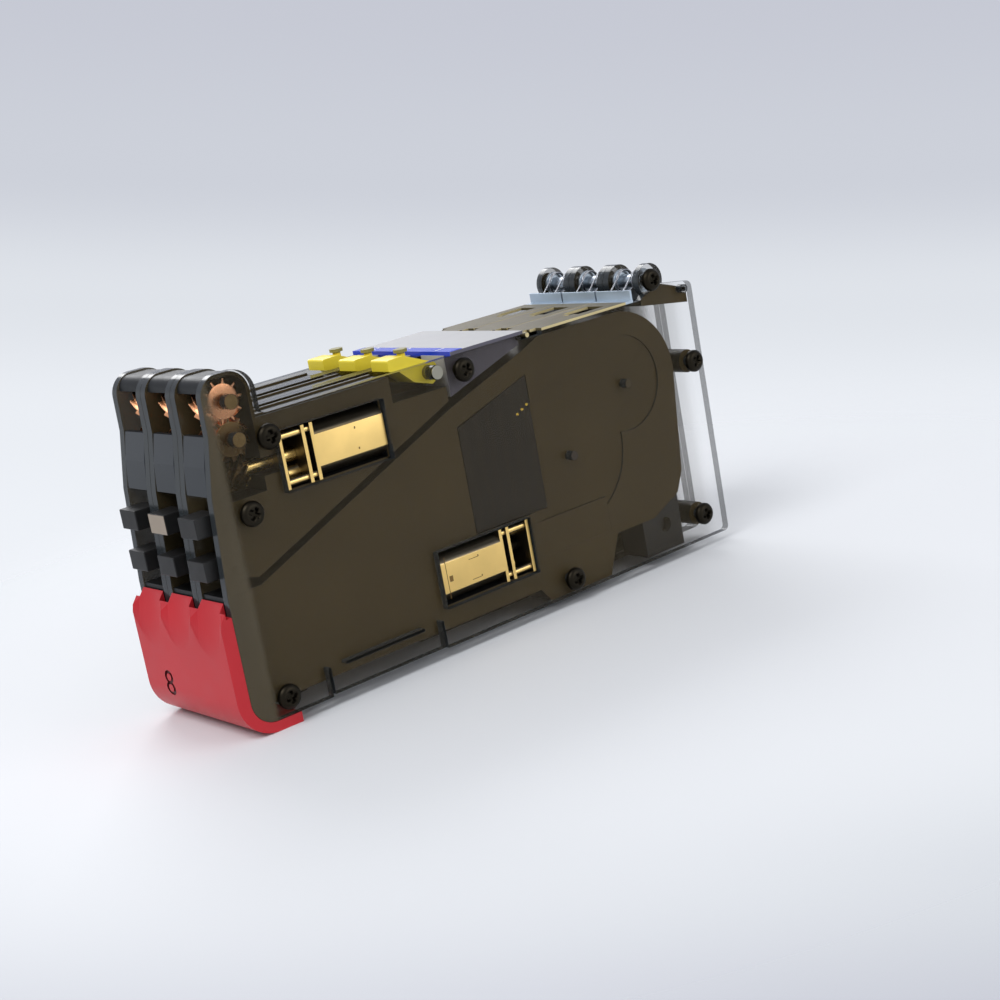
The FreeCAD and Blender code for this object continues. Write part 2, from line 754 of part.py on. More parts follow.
def gear_motor(label, lane, face, direction, height):
    """A geared motor lying along the lane: three plates on pillars, two stage gears and the can."""
    piece = Piece(label, lane_shift(lane))
    sign = 1 if direction == "+" else -1

    def reach(start, end):
        """Two levels measured from the output face into the motor, lowest first."""
        first, last = (start, end) if sign > 0 else (end, start)
        return f"{face} {direction} ({first})", f"{face} {direction} ({last})"

    half_wide = "motor_wide / 2"
    half_tall = "motor_tall / 2"
    rear_plate = "gearbox_long - motor_plate"
    mid_plate = "gearbox_long - mid_plate_share * motor_plate"
    outline = box(f"-{half_wide}", f"{height} - {half_tall}", half_wide, f"{height} + {half_tall}")
    middle = "0"
    piece.add("end", [outline], *reach(rear_plate, "gearbox_long"))
    pillar_y = f"{half_wide} - pillar_in"
    pillar_z = f"{half_tall} - pillar_in"
    pillars = [
        circle(f"{y}({pillar_y})", f"{height} {z} ({pillar_z})", "pillar_wide")
        for y in ("-", "")
        for z in ("-", "+")
    ]
    piece.add("end", pillars, *reach("0", rear_plate))
    piece.add("end", [outline], *reach("0", "motor_plate"))
    piece.add("end", [outline], *reach(mid_plate, f"{mid_plate} + motor_plate"))
    stage = f"{height} + motor_shaft / 2 + stage_gap"
    piece.add("end", [circle(middle, stage, "stage_wide")], *reach("motor_plate", "front_stage_end"))
    low_stage = f"{height} - motor_shaft / 2 - stage_gap"
    piece.add("end", [circle(middle, low_stage, "stage_wide")], *reach("rear_stage_start", mid_plate))
    bore = circle(middle, height, "motor_shaft + 2 * running_play")
    piece.cut("end", [bore], *reach("0", "motor_plate"))
    piece.add("end", [circle(middle, height, "motor_tall")], *reach("gearbox_long", "gearbox_long + can_long"))
    for side in ("-", ""):
        flat = [f"{side}({half_wide})", f"{side}(motor_tall)"]
        low, high = (flat[1], flat[0]) if side else (flat[0], flat[1])
        trim = box(low, f"{height} - motor_tall", high, f"{height} + motor_tall")
        piece.cut("end", [trim], *reach("gearbox_long", "gearbox_long + can_long"))
    return piece


def trapezoid_teeth(teeth, module, tip_share, root_share, slack):
    """Corner radius and angle of each tooth, its flanks being chords of the involute.

    An involute tooth's half angle at radius r is half its angle at the pitch circle
    plus inv(pressure angle) minus inv(angle at r), with inv(a) = tan(a) - a.
    """
    pitch = module * teeth / 2
    tip = pitch + tip_share * module
    root = pitch - root_share * module
    pressure = math.radians(PRESSURE_ANGLE)
    foot = pitch * math.cos(pressure)

    def half_angle(radius):
        lean = math.acos(min(1.0, foot / radius))
        half_tooth = math.pi / (2 * teeth) * (1 - slack)
        return half_tooth + math.tan(pressure) - pressure - math.tan(lean) + lean

    corners = []
    for tooth in range(teeth):
        centre = 2 * math.pi * tooth / teeth
        corners.append((root, centre - half_angle(root)))
        corners.append((tip, centre - half_angle(tip)))
        corners.append((tip, centre + half_angle(tip)))
        corners.append((root, centre + half_angle(root)))
    return corners


def ring_spots(corners, turn, level):
    """Points at corners given as radius and angle, turned, in the plane Z = level."""
    return [
        FreeCAD.Vector(radius * math.cos(angle + turn), radius * math.sin(angle + turn), level)
        for radius, angle in corners
    ]


def quad_faces(first, second, third, fourth):
    """Two flat triangles over four corners of a skin, folded towards its inside where they are not level."""
    outward = (third - first).cross(fourth - second)
    if (first + third - second - fourth).dot(outward) < 0:
        triangles = [(first, second, third), (first, third, fourth)]
    else:
        triangles = [(first, second, fourth), (second, third, fourth)]
    return [Part.Face(Part.makePolygon([*triangle, triangle[0]])) for triangle in triangles]


def skinned(rings):
    """A solid through rings of corners, each ring counter-clockwise as seen from the last one."""
    faces = []
    for below, above in zip(rings, rings[1:]):
        for k in range(len(below)):
            after = (k + 1) % len(below)
            faces += quad_faces(below[k], below[after], above[after], above[k])
    for ring in (rings[0], rings[-1]):
        faces.append(Part.Face(Part.makePolygon([*ring, ring[0]])))
    return Part.Solid(Part.makeShell(faces))


def slanted_teeth(corners, half_face, first_turn, twist, spans):
    """A toothed wheel about the Z axis whose teeth wind by twist from its lower face to its upper one."""
    rings = []
    for step in range(spans + 1):
        share = step / spans
        rings.append(ring_spots(corners, first_turn + twist * (share - 0.5), (2 * share - 1) * half_face))
    return skinned(rings)


def straight_teeth(corners, start, end, first_turn):
    """A toothed wheel about the Z axis with straight teeth between two levels."""
    ring = ring_spots(corners, first_turn, start)
    return Part.Face(Part.makePolygon([*ring, ring[0]])).extrude(FreeCAD.Vector(0, 0, end - start))


def rod(wide, start, end):
    """A round rod about the Z axis."""
    return Part.makeCylinder(wide / 2, end - start, FreeCAD.Vector(0, 0, start))


def film_lever(lane):
    """The sprung thumb lever that holds the peeled film down on its rails."""
    piece = Piece(f"lane{lane}_film_lever", lane_shift(lane))
    block_low = "rail_top + lever_rest_gap"
    block_top = f"{block_low} + lever_block_tall"
    outline = [
        ("lever_front", block_low),
        ("lever_front", block_top),
        ("lever_front + lever_block_long", f"{block_top} + lever_block_slope"),
        ("lever_pin_x + lever_heel_long", "lever_pin_z + lever_heel_half"),
        ("lever_pin_x + lever_heel_long", "lever_pin_z - lever_heel_half"),
        ("lever_pin_x + lever_heel_foot", "lever_pin_z - lever_heel_drop"),
        ("lever_pin_x - lever_arm_in", "lever_pin_z - lever_arm_drop"),
        ("lever_front + lever_chin_in", f"{block_low} - lever_chin_drop"),
    ]
    sketch = piece.add("side", [outline], "-lever_wide / 2", "lever_wide / 2")
    piece.soften(sketch, [1], "lever_nose_round")
    piece.soften(sketch, [3, 4], "lever_heel_round")
    bore = circle("lever_pin_x", "lever_pin_z", "lever_pin_wide + 2 * running_play")
    piece.cut("side", [bore], "-lever_wide / 2", "lever_wide / 2")
    peg_x = "lever_front + peg_in"
    peg = circle(peg_x, "0", "peg_wide")
    piece.add("top", [peg], f"{block_low} + peg_sink", f"{block_top} + peg_rise")
    peg_cap = circle(peg_x, "0", "peg_cap_wide")
    piece.add("top", [peg_cap], f"{block_top} + peg_cap_low", f"{block_top} + peg_cap_top")
    return piece


def pick_plate(lane):
    """The steel plate over the tape: pick window, stepped tongue, pivot rod and turned-up lip."""
    piece = Piece(f"lane{lane}_pick_plate", lane_shift(lane))
    start = "cover_end + pick_start_gap"
    step = "cover_end + pick_step_back"
    tongue = "half_room - tongue_side_gap"
    outline = [
        (start, f"-({tongue})"),
        ("cover_end + tongue_notch_start", f"-({tongue})"),
        ("cover_end + tongue_notch_start", f"-({tongue} - tongue_notch_deep)"),
        ("cover_end + tongue_notch_end", f"-({tongue} - tongue_notch_deep)"),
        ("cover_end + tongue_notch_end", f"-({tongue})"),
        (step, f"-({tongue})"),
        (step, "-pick_half"),
        ("pick_end", "-pick_half"),
        ("pick_end", "pick_half"),
        (step, "pick_half"),
        (step, tongue),
        ("cover_end + tongue_notch_end", tongue),
        ("cover_end + tongue_notch_end", f"{tongue} - tongue_notch_deep"),
        ("cover_end + tongue_notch_start", f"{tongue} - tongue_notch_deep"),
        ("cover_end + tongue_notch_start", tongue),
        (start, tongue),
    ]
    piece.add("top", [outline], "pick_low", "pick_low + pick_thick")
    window_end = "tail_edge - pick_window_in"
    window_start = f"{window_end} - pick_window_long"
    window = [
        (window_start, "-pick_window_wide / 2"),
        (window_end, "-pick_window_wide / 2"),
        (window_end, "pick_window_wide / 2"),
        (window_start, "pick_window_wide / 2"),
        (window_start, "0.6"),
        (f"{window_start} - pick_tongue_long", "pick_tongue_far"),
        (f"{window_start} - pick_tongue_long", "-pick_tongue_near"),
        (window_start, "-pick_tongue_near"),
    ]
    piece.cut("top", [window], "pick_low", "pick_low + pick_thick")
    lip = box("pick_end - pick_thick", "-pick_half + lip_side_gap", "pick_end", "pick_half - lip_side_gap")
    piece.add("top", [lip], "pick_low", "pick_low + pick_thick + pick_lip_tall")
    rod_low = circle("cover_end + pick_rod_in", "pick_low", "pick_rod_wide")
    piece.add("side", [rod_low], "-pick_half", "pick_half")
    return piece


def button(lane, name):
    """A square push button on its stem."""
    piece = Piece(f"lane{lane}_{name}_button", lane_shift(lane))
    height = f"base + {name}_button_rise"
    front = "front_edge - button_out"
    half_wide = "button_wide / 2"
    half_tall = "button_tall / 2"
    cap = box(f"-{half_wide}", f"{height} - {half_tall}", half_wide, f"{height} + {half_tall}")
    piece.add("end", [cap], front, f"{front} + button_long")
    half_stem = "button_stem / 2"
    stem = box(f"-{half_stem}", f"{height} - {half_stem}", half_stem, f"{height} + {half_stem}")
    piece.add("end", [stem], f"{front} + button_long", "recess_wall + button_stem_in")
    return piece


def film_chute(lane):
    """The curved glossy guide under the film's way out of one lane."""
    piece = Piece(f"film_chute_{lane}", lane_shift(lane))
    top_x = "front_edge + sill_back + chute_front_gap"
    foot_x = "front_edge + chute_foot_back + chute_front_gap"
    middle_x = f"({top_x} + {foot_x}) / 2 - chute_bow"
    top_z = "base + sill_rise"
    foot_z = "base + chute_foot_rise"
    middle_z = f"({top_z} + {foot_z}) / 2"
    outline = [
        (top_x, top_z),
        (middle_x, middle_z),
        (foot_x, foot_z),
        (f"{foot_x} + chute_thick", foot_z),
        (f"{middle_x} + chute_thick", middle_z),
        (f"{top_x} + chute_thick", top_z),
    ]
    piece.add("side", [outline], "-half_frame", "half_frame")
    return piece


def standoffs(lane):
    """The two spacer tubes that hold a lane's plates apart behind its frame."""
    piece = Piece(f"standoffs_{lane}", lane_shift(lane))
    centres = through_screws()
    tubes = [circle(*centres[name], "standoff_wide") for name in ("tail", "heel")]
    piece.add("side", tubes, "-half_frame", "half_frame")
    piece.cut("side", screw_holes("tail", "heel"), "-half_frame", "half_frame")
    return piece


def ear_block(lane):
    """The spacer between the ears of a lane's plates, under the spring shaft."""
    piece = Piece(f"ear_block_{lane}", lane_shift(lane))
    outline = [
        ("shaft_x - ear_block_in", "shaft_z - ear_block_drop"),
        ("tail_edge - ear_tail_gap", "shaft_z - ear_tail_drop"),
        ("tail_edge - ear_tail_gap", "base + ear_side_rise - ear_round"),
        ("shaft_x + ear_hollow_in", "shaft_z - ear_hollow_drop"),
        ("shaft_x - ear_block_in", "shaft_z - ear_front_drop"),
    ]
    piece.add("side", [outline], "-half_frame", "half_frame")
    hole = circle("tail_edge - ear_hole_in", "base + ear_hole_rise", "ear_hole_wide")
    piece.cut("side", [hole], "-half_frame", "half_frame")
    return piece


def control_board(lane):
    """The circuit board that lies in the side of a lower frame."""
    piece = Piece(f"control_board_{lane}", lane_shift(lane))
    piece.add("side", [board_outline("0")], "-half_frame", "board_thick - half_frame")
    return piece


def contact_block(lane):
    """The block at the machine's end that plugs a lane into its dock, shaped to the frame above it."""
    piece = Piece(f"contact_block_{lane}", lane_shift(lane))
    start = "tail_edge - contact_in"
    end = f"{start} + contact_long"
    low = "base + contact_foot_rise"
    chin_slope = "(tail_chin_z - frame_underside) / (tail_chin_x - tail_foot_x)"
    high = "frame_underside - side_play"
    outline = [
        (start, low),
        (end, low),
        (end, f"{high} + ({end} - tail_foot_x) * {chin_slope}"),
        ("tail_foot_x", high),
        (start, high),
    ]
    piece.add("side", [outline], "-half_frame", "half_frame")
    socket = circle("tail_edge - contact_socket_in", "base + contact_socket_rise", "contact_socket_wide")
    piece.cut("side", [socket], "-half_frame", "contact_socket_deep - half_frame")
    return piece


def group(label, pieces):
    """Separate solids that share one node."""
    compound = doc.addObject("Part::Compound", label)
    compound.Label = label
    compound.Links = [piece.body for piece in pieces]
    return compound


def top_cover():
    """The grey name panel across all lanes, with a wedge between the plates of each lane."""
    piece = Piece("top_cover")
    panel = box("cover_start", "-half_stack", "cover_end", "half_stack")
    piece.add("top", [panel], "deck + side_play", "deck + side_play + cover_thick")
    for lane in LANES:
        middle = lane_shift(lane)
        wedge_start = "cover_start - wedge_front_gap"
        outline = [
            (wedge_start, ramp_height(wedge_start, "-wedge_ramp_gap")),
            ("cover_end - wedge_end_gap", "table - wedge_foot_drop"),
            ("cover_end - wedge_end_gap", "deck + 2 * side_play"),
            (wedge_start, "deck + 2 * side_play"),
        ]
        piece.add("side", [outline], f"{middle} - half_frame", f"{middle} + half_frame")
    piece.cut("side", screw_holes("cover"), "-half_stack", "half_stack")
    return piece.body


def red_foot():
    """The shoe under the operator's end: a rounded toe with a scoop in front of every lane."""
    shoe = Piece("foot_shoe")
    back = "front_edge - foot_seat"
    front = "front_edge - foot_wall"
    slope_z = "base + foot_top_rise"
    outline = [
        (front, "base - foot_sole"),
        ("front_edge + foot_long", "base - foot_sole"),
        ("front_edge + foot_long", "base - foot_seat"),
        (back, "base - foot_seat"),
        (back, slope_z),
        (f"{front} + foot_lip", f"{slope_z} - foot_top_slope"),
        (front, f"{slope_z} - foot_top_slope - foot_lip"),
    ]
    sketch = shoe.add("side", [outline], "-half_stack", "half_stack")
    shoe.soften(sketch, [0], "foot_round")
    shoe.soften(sketch, [3], "corner_low")
    for border in ("-1.5", "-0.5", "0.5", "1.5"):
        middle = f"{border} * lane_pitch"
        notch_wide = "plate_skin + lane_gap + notch_play"
        notch = box(
            f"{middle} - {notch_wide}",
            f"{slope_z} - foot_top_slope + notch_rise",
            f"{middle} + {notch_wide}",
            slope_z,
        )
        shoe.cut("end", [notch], f"{back} - notch_reach", "front_edge")
    tools = []
    lean = "atan(scoop_deep / scoop_long)"
    for lane in LANES:
        scoop = doc.addObject("Part::Cylinder", f"scoop_{lane}")
        scoop.setExpression("Radius", bound("scoop_round"))
        scoop.setExpression("Height", bound("2 * scoop_long"))
        scoop.Placement = FreeCAD.Placement(
            FreeCAD.Vector(0, 0, 0), FreeCAD.Rotation(FreeCAD.Vector(0, 1, 0), 10)
        )
        scoop.setExpression("Placement.Rotation.Angle", bound(lean))
        top_z = f"{slope_z} - foot_top_slope"
        scoop.setExpression("Placement.Base.x", bound(f"{front} - scoop_round"))
        scoop.setExpression("Placement.Base.y", bound(lane_shift(lane)))
        scoop.setExpression("Placement.Base.z", bound(f"{top_z} - scoop_long"))
        tools.append(scoop)
    scoops = doc.addObject("Part::MultiFuse", "scoops")
    scoops.Shapes = tools
    foot = doc.addObject("Part::Cut", "red_foot")
    foot.Label = "red_foot"
    foot.Base = shoe.body
    foot.Tool = scoops
    return foot


def through_rod(label, x, z, wide, out):
    """A rod across all lanes that stands out of both outer plates."""
    piece = Piece(label)
    reach = f"half_stack + {out}"
    piece.add("side", [circle(x, z, wide)], f"-({reach})", reach)
    return piece.body


def spring_shaft():
    """The shaft that the pick plates' springs sit on, with its retaining rings."""
    piece = Piece("spring_shaft")
    across = "half_stack - shaft_end_in"
    piece.add("side", [circle("shaft_x", "shaft_z", "spring_shaft_wide")], f"-({across})", across)
    for lane in LANES:
        for side in ("-", "+"):
            middle = f"{lane_shift(lane)} {side} (half_room - 0.5)"
            ring = circle("shaft_x", "shaft_z", "spring_shaft_wide + ring_rim")
            piece.add("side", [ring], f"{middle} - ring_half_thick", f"{middle} + ring_half_thick")
    return piece.body


def plate_springs():
    """Two wire coils on the shaft in every lane, each with a leg down to the pick plate's lip."""
    shaft_x, shaft_z = place("shaft_x"), place("shaft_z")
    wire = size("spring_wire")
    outer = size("spring_coil_wide") / 2
    bore = size("spring_shaft_wide") / 2 + 3 * size("running_play")
    lip_x = place("pick_end") + wire / 2 + size("leg_gap")
    lip_z = place("pick_low") + size("pick_thick") + wire
    tangent_x = shaft_x - 0.55 * outer
    tangent_z = shaft_z + 0.7 * outer
    way = FreeCAD.Vector(lip_x - tangent_x, 0, lip_z - tangent_z)
    springs = []
    for lane in LANES:
        for side in (-1, 1):
            across = (lane - MIDDLE_LANE) * place("lane_pitch") + side * size("spring_from_centre")
            start = across - size("spring_coil_long") / 2
            centre = FreeCAD.Vector(shaft_x, start, shaft_z)
            axis = FreeCAD.Vector(0, 1, 0)
            coil = Part.makeCylinder(outer, size("spring_coil_long"), centre, axis)
            coil = coil.cut(Part.makeCylinder(bore, size("spring_coil_long"), centre, axis))
            leg = Part.makeCylinder(wire / 2, way.Length, FreeCAD.Vector(tangent_x, across, tangent_z), way)
            springs.append(coil.fuse(leg))
    item = doc.addObject("Part::Feature", "plate_springs")
    item.Label = "plate_springs"
    item.Shape = Part.makeCompound(springs)
    return item


def side_screws():
    """Pan-head screws on both outer plates, each reaching halfway through the feeder."""
    half_stack = place("half_stack")
    head = size("screw_head_wide") / 2
    tall = size("screw_head_tall")
    shank = size("screw_shank") / 2
    centres = [spot for spot in through_screws().values()]
    screws = []
    for x_formula, z_formula in centres:
        x, z = worked_out(x_formula), worked_out(z_formula)
        for side in (-1, 1):
            way = FreeCAD.Vector(0, side, 0)
            seat = FreeCAD.Vector(x, side * half_stack, z)
            pan = Part.makeCylinder(head, tall, seat, way)
            stem = Part.makeCylinder(shank, half_stack - size("side_play"), seat, way * -1)
            screws.append(pan.fuse(stem))
    item = doc.addObject("Part::Feature", "side_screws")
    item.Label = "side_screws"
    item.Shape = Part.makeCompound(screws)
    return item


def worked_out(formula):
    """The number that a plain sum of size and place names comes to."""
    total = 0.0
    for sign, word in re.findall(r"([+-]?)\s*([a-z]\w*)", formula):
        number = size(word) if word in SIZES else place(word)
        total += -number if sign == "-" else number
    return total


def spinning(label, shape, lane, x, z, turn):
    """A turning piece built about its own Z axis, then turned and set on its axle line."""
    item = doc.addObject("Part::Feature", label)
    item.Label = label
    item.Shape = shape
    across = (lane - MIDDLE_LANE) * place("lane_pitch")
    item.Placement = FreeCAD.Placement(FreeCAD.Vector(x, across, z), turn)
    return item


ACROSS = FreeCAD.Rotation(FreeCAD.Vector(1, 0, 0), -90)
ALONG = FreeCAD.Rotation(FreeCAD.Vector(1, 1, 1), 120)


def peel_gear(lane, name, height, hand, first_turn):
    """One of the two film gears: ten slanted teeth on a shaft that turns in both plates."""
    corners = trapezoid_teeth(
        int(size("peel_teeth")), size("peel_module"), PEEL_TIP_SHARE, PEEL_ROOT_SHARE, PEEL_SLACK
    )
    half_face = size("peel_face") / 2
    slant = hand / place("peel_round")
    teeth = slanted_teeth(corners, half_face, first_turn, 2 * slant * half_face, HELIX_SPANS)
    shaft = rod(size("gear_shaft"), -place("half_lane"), place("half_lane"))
    return spinning(
        f"lane{lane}_{name}_peel_gear", teeth.fuse(shaft), lane, place("peel_x"), place(height), ACROSS
    )


def peel_pinion(lane):
    """The slanted pinion under the lower film gear, on the peel motor's shaft."""
    teeth_count = int(size("pinion_teeth"))
    corners = trapezoid_teeth(teeth_count, size("peel_module"), PINION_TIP_SHARE, PEEL_ROOT_SHARE, PEEL_SLACK)
    half_long = size("pinion_long") / 2
    twist = size("pinion_long") / place("pinion_round")
    gap_on_top = math.pi / 2 + math.pi / teeth_count
    teeth = slanted_teeth(corners, half_long, gap_on_top, -twist, PINION_SPANS)
    motor_face = place("peel_motor_x") - place("peel_x")
    shaft = rod(size("motor_shaft"), -half_long - size("pinion_overhang"), motor_face + motor_shaft_depth())
    return spinning(
        f"lane{lane}_peel_pinion", teeth.fuse(shaft), lane, place("peel_x"), place("peel_motor_z"), ALONG
    )


def motor_shaft_depth():
    """How far a motor's shaft reaches in behind its output face."""
    return size("gearbox_long") - size("mid_plate_share") * size("motor_plate") - size("running_play")


def worm_thread():
    """One trapezoid thread about the Z axis, skinned over sections along its helix.

    The section at angle a lies at height lead * (a - 90 deg) / 360 deg + lead / 2, so that
    a hollow of the thread faces the wheel's tooth straight above the worm.
    """
    lead = math.pi * size("drive_module")
    pitch = size("worm_pitch_wide") / 2
    tip = pitch + TIP_SHARE * size("drive_module")
    root = pitch - ROOT_SHARE * size("drive_module") - THREAD_SINK
    lean = math.tan(math.radians(PRESSURE_ANGLE))
    pitch_half = (lead - size("drive_backlash")) / 4 - size("worm_thinning")
    tip_half = pitch_half - (tip - pitch) * lean
    root_half = pitch_half + (pitch - root) * lean
    reach = size("worm_long") / 2 - root_half
    turns = 2 * reach / lead
    steps = math.ceil(turns * THREAD_STEPS)
    rings = []
    for step in range(steps + 1):
        level = -reach + 2 * reach * step / steps
        angle = 2 * math.pi * (level - lead / 2) / lead + math.pi / 2
        out = FreeCAD.Vector(math.cos(angle), math.sin(angle), 0)
        up = FreeCAD.Vector(0, 0, 1)
        spots = [
            out * root + up * (level - root_half),
            out * tip + up * (level - tip_half),
            out * tip + up * (level + tip_half),
            out * root + up * (level + root_half),
        ]
        rings.append(spots)
    return skinned(rings)


def drive_worm(lane):
    """The single-start worm on the drive motor's shaft, under the wheel."""
    half_long = size("worm_long") / 2
    core_wide = size("worm_pitch_wide") - 2 * ROOT_SHARE * size("drive_module")
    core = rod(core_wide, -half_long, half_long)
    motor_face = place("drive_motor_x") - place("wheel_x")
    shaft = rod(size("motor_shaft"), motor_face - motor_shaft_depth(), half_long + size("worm_shaft_end"))
    solid = core.fuse([worm_thread(), shaft])
    return spinning(f"lane{lane}_drive_worm", solid, lane, place("wheel_x"), place("drive_motor_z"), ALONG)


def drive_wheel(lane):
    """The wheel that the worm turns and that turns the sprocket's gear."""
    slack = size("drive_backlash") / (math.pi * size("drive_module"))
    corners = trapezoid_teeth(
        int(size("wheel_teeth")), size("drive_module"), TIP_SHARE, ROOT_SHARE, slack
    )
    half_face = size("drive_face") / 2
    teeth = straight_teeth(corners, -half_face, half_face, math.pi / 2)
    hub = rod(3 * size("axle_wide"), -half_face - size("hub_long"), half_face + size("hub_long"))
    axle = rod(size("axle_wide"), -place("half_lane"), place("half_lane"))
    solid = teeth.fuse([hub, axle])
    return spinning(f"lane{lane}_drive_wheel", solid, lane, place("wheel_x"), place("wheel_z"), ACROSS)


def sprocket_gear_turn():
    """Turn of the sprocket's gear that puts its gap where the wheel's tooth points at it.

    With the wheel's tooth at angle p, its gear's tooth q and the line of centres at c, the
    teeth mesh when wheel_teeth * (c - p) + gear_teeth * (c + 180 deg - q) = 180 deg.
    """
    rise = place("sprocket_z") - place("wheel_z")
    run = place("sprocket_x") - place("wheel_x")
    line = math.atan2(rise, run)
    wheel_tooth = -math.pi / 2
    return line + math.pi - (math.pi - size("wheel_teeth") * (line - wheel_tooth)) / size("sprocket_gear_teeth")


def tape_sprocket(lane):
    """The disc whose pegs pull the tape by its holes, with the gear that turns it."""
    slack = size("drive_backlash") / (math.pi * size("drive_module"))
    corners = trapezoid_teeth(
        int(size("sprocket_gear_teeth")), size("drive_module"), TIP_SHARE, ROOT_SHARE, slack
    )
    half_face = size("drive_face") / 2
    gear = straight_teeth(corners, -half_face, half_face, -sprocket_gear_turn())
    disc_round = place("sprocket_round") - size("side_play")
    peg_tip = disc_round + size("sprocket_tooth_tall")
    peg_half = size("sprocket_tooth_wide") / 2
    pegs = []
    count = int(size("sprocket_teeth"))
    for peg in range(count):
        centre = 2 * math.pi * peg / count - math.pi / 2
        pegs.append((disc_round, centre - peg_half / disc_round))
        pegs.append((peg_tip, centre - 0.5 * peg_half / peg_tip))
        pegs.append((peg_tip, centre + 0.5 * peg_half / peg_tip))
        pegs.append((disc_round, centre + peg_half / disc_round))
    disc_start = size("hole_row_from_centre") - size("sprocket_thick") / 2
    disc = straight_teeth(pegs, disc_start, disc_start + size("sprocket_thick"), 0.0)
    hub = rod(3 * size("axle_wide"), -half_face - size("hub_long"), disc_start)
    axle = rod(size("axle_wide"), -place("half_lane"), place("half_lane"))
    solid = gear.fuse([hub, disc, axle])
    return spinning(f"lane{lane}_sprocket", solid, lane, place("sprocket_x"), place("sprocket_z"), ACROSS)


def build_nodes():
    """Every piece of the feeder, by the name of its node."""
    nodes = []
    for lane in LANES:
        nodes.append(side_plate(lane, True).body)
        nodes.append(side_plate(lane, False).body)
        nodes.append(upper_frame(lane).body)
        nodes.append(lower_frame(lane).body)
        nodes.append(gear_motor(f"lane{lane}_peel_motor", lane, "peel_motor_x", "+", "peel_motor_z").body)
        nodes.append(gear_motor(f"lane{lane}_drive_motor", lane, "drive_motor_x", "-", "drive_motor_z").body)
        nodes.append(film_lever(lane).body)
        nodes.append(pick_plate(lane).body)
        nodes.append(button(lane, "upper").body)
        nodes.append(button(lane, "lower").body)
        nodes.append(peel_gear(lane, "lower", "lower_gear_z", -1, math.pi / 2))
        gap_below = math.pi / 2 + math.pi / size("peel_teeth")
        nodes.append(peel_gear(lane, "upper", "upper_gear_z", 1, gap_below))
        nodes.append(peel_pinion(lane))
        nodes.append(drive_worm(lane))
        nodes.append(drive_wheel(lane))
        nodes.append(tape_sprocket(lane))
    nodes.append(group("film_chutes", [film_chute(lane) for lane in LANES]))
    nodes.append(group("standoffs", [standoffs(lane) for lane in LANES]))
    nodes.append(group("ear_blocks", [ear_block(lane) for lane in LANES]))
    nodes.append(group("control_boards", [control_board(lane) for lane in LANES]))
    nodes.append(group("contact_blocks", [contact_block(lane) for lane in LANES]))
    nodes.append(top_cover())
    nodes.append(red_foot())
    nodes.append(through_rod("lever_pin", "lever_pin_x", "lever_pin_z", "lever_pin_wide", "0.5"))
    nodes.append(spring_shaft())
    nodes.append(plate_springs())
    nodes.append(side_screws())
    return nodes


def check_and_export(nodes):
    """Stops on any failed object, then writes every node's shape."""
    doc.recompute()
    for item in doc.Objects:
        if "Invalid" in item.State or "Error" in item.State:
            raise RuntimeError(f"{item.Name} of {item.Label} failed: {item.State}")
    os.makedirs("parts", exist_ok=True)
    for node in nodes:
        if node.Shape.isNull() or not node.Shape.isValid():
            raise RuntimeError(f"{node.Label} has no valid shape")
    for node in nodes:
        node.Shape.exportStep(f"parts/{node.Label}.step")


check_and_export(build_nodes())
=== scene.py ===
import json
import math

import bmesh
import bpy
import numpy as np
from mathutils import Matrix, Vector
from mathutils.bvhtree import BVHTree


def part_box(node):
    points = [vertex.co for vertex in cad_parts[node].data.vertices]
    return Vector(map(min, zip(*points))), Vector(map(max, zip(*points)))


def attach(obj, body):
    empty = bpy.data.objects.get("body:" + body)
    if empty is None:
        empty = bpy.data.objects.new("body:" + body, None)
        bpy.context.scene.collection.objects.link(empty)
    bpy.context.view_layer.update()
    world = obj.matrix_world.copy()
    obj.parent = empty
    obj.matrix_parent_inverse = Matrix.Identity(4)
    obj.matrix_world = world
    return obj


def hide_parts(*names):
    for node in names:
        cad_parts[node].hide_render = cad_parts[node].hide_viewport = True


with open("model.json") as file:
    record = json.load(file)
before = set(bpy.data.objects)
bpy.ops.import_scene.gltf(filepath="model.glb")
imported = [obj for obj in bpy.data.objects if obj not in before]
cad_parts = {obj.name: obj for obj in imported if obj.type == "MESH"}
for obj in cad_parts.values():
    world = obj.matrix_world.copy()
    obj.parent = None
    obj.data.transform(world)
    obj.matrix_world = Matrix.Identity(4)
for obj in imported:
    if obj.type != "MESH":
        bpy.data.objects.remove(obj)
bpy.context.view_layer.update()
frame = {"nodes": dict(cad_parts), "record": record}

bl_info = {
    "name": "Tape Feeder Finishes",
    "version": (1, 0, 0),
    "blender": (4, 5, 0),
    "location": "View3D > Sidebar > Feeder",
    "description": "Finishes, fasteners, springs and stage for a three-lane component tape feeder",
    "category": "Object",
}

MM = 0.001
LANES = (1, 2, 3)


def middle(node):
    """Centre of a node's box."""
    low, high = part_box(node)
    return (np.array(low) + np.array(high)) / 2


PLATE_LOW, PLATE_HIGH = (np.array(corner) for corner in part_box("lane1_near_plate"))
STACK = float(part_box("lane3_far_plate")[1].y)
SHAFT = middle("spring_shaft")
PICK_END = float(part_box("lane1_pick_plate")[1].x)
PEG_RISE = 1.06 * MM
LEVER_DECK = float(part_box("lane1_film_lever")[1].z) - PEG_RISE
UPPER_AXLE = tuple(middle("lane1_upper_peel_gear")[[0, 2]])
LOWER_AXLE = tuple(middle("lane1_lower_peel_gear")[[0, 2]])
COVER_LOW, COVER_HIGH = (np.array(corner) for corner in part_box("top_cover"))


def lane_middle(lane):
    """Place of a lane across the feeder."""
    return float(middle(f"lane{lane}_pick_plate")[1])


# Mesh tools

SHARP_EDGE = 32.0
FLAT_WITHIN = 0.6
WELD = 1e-6


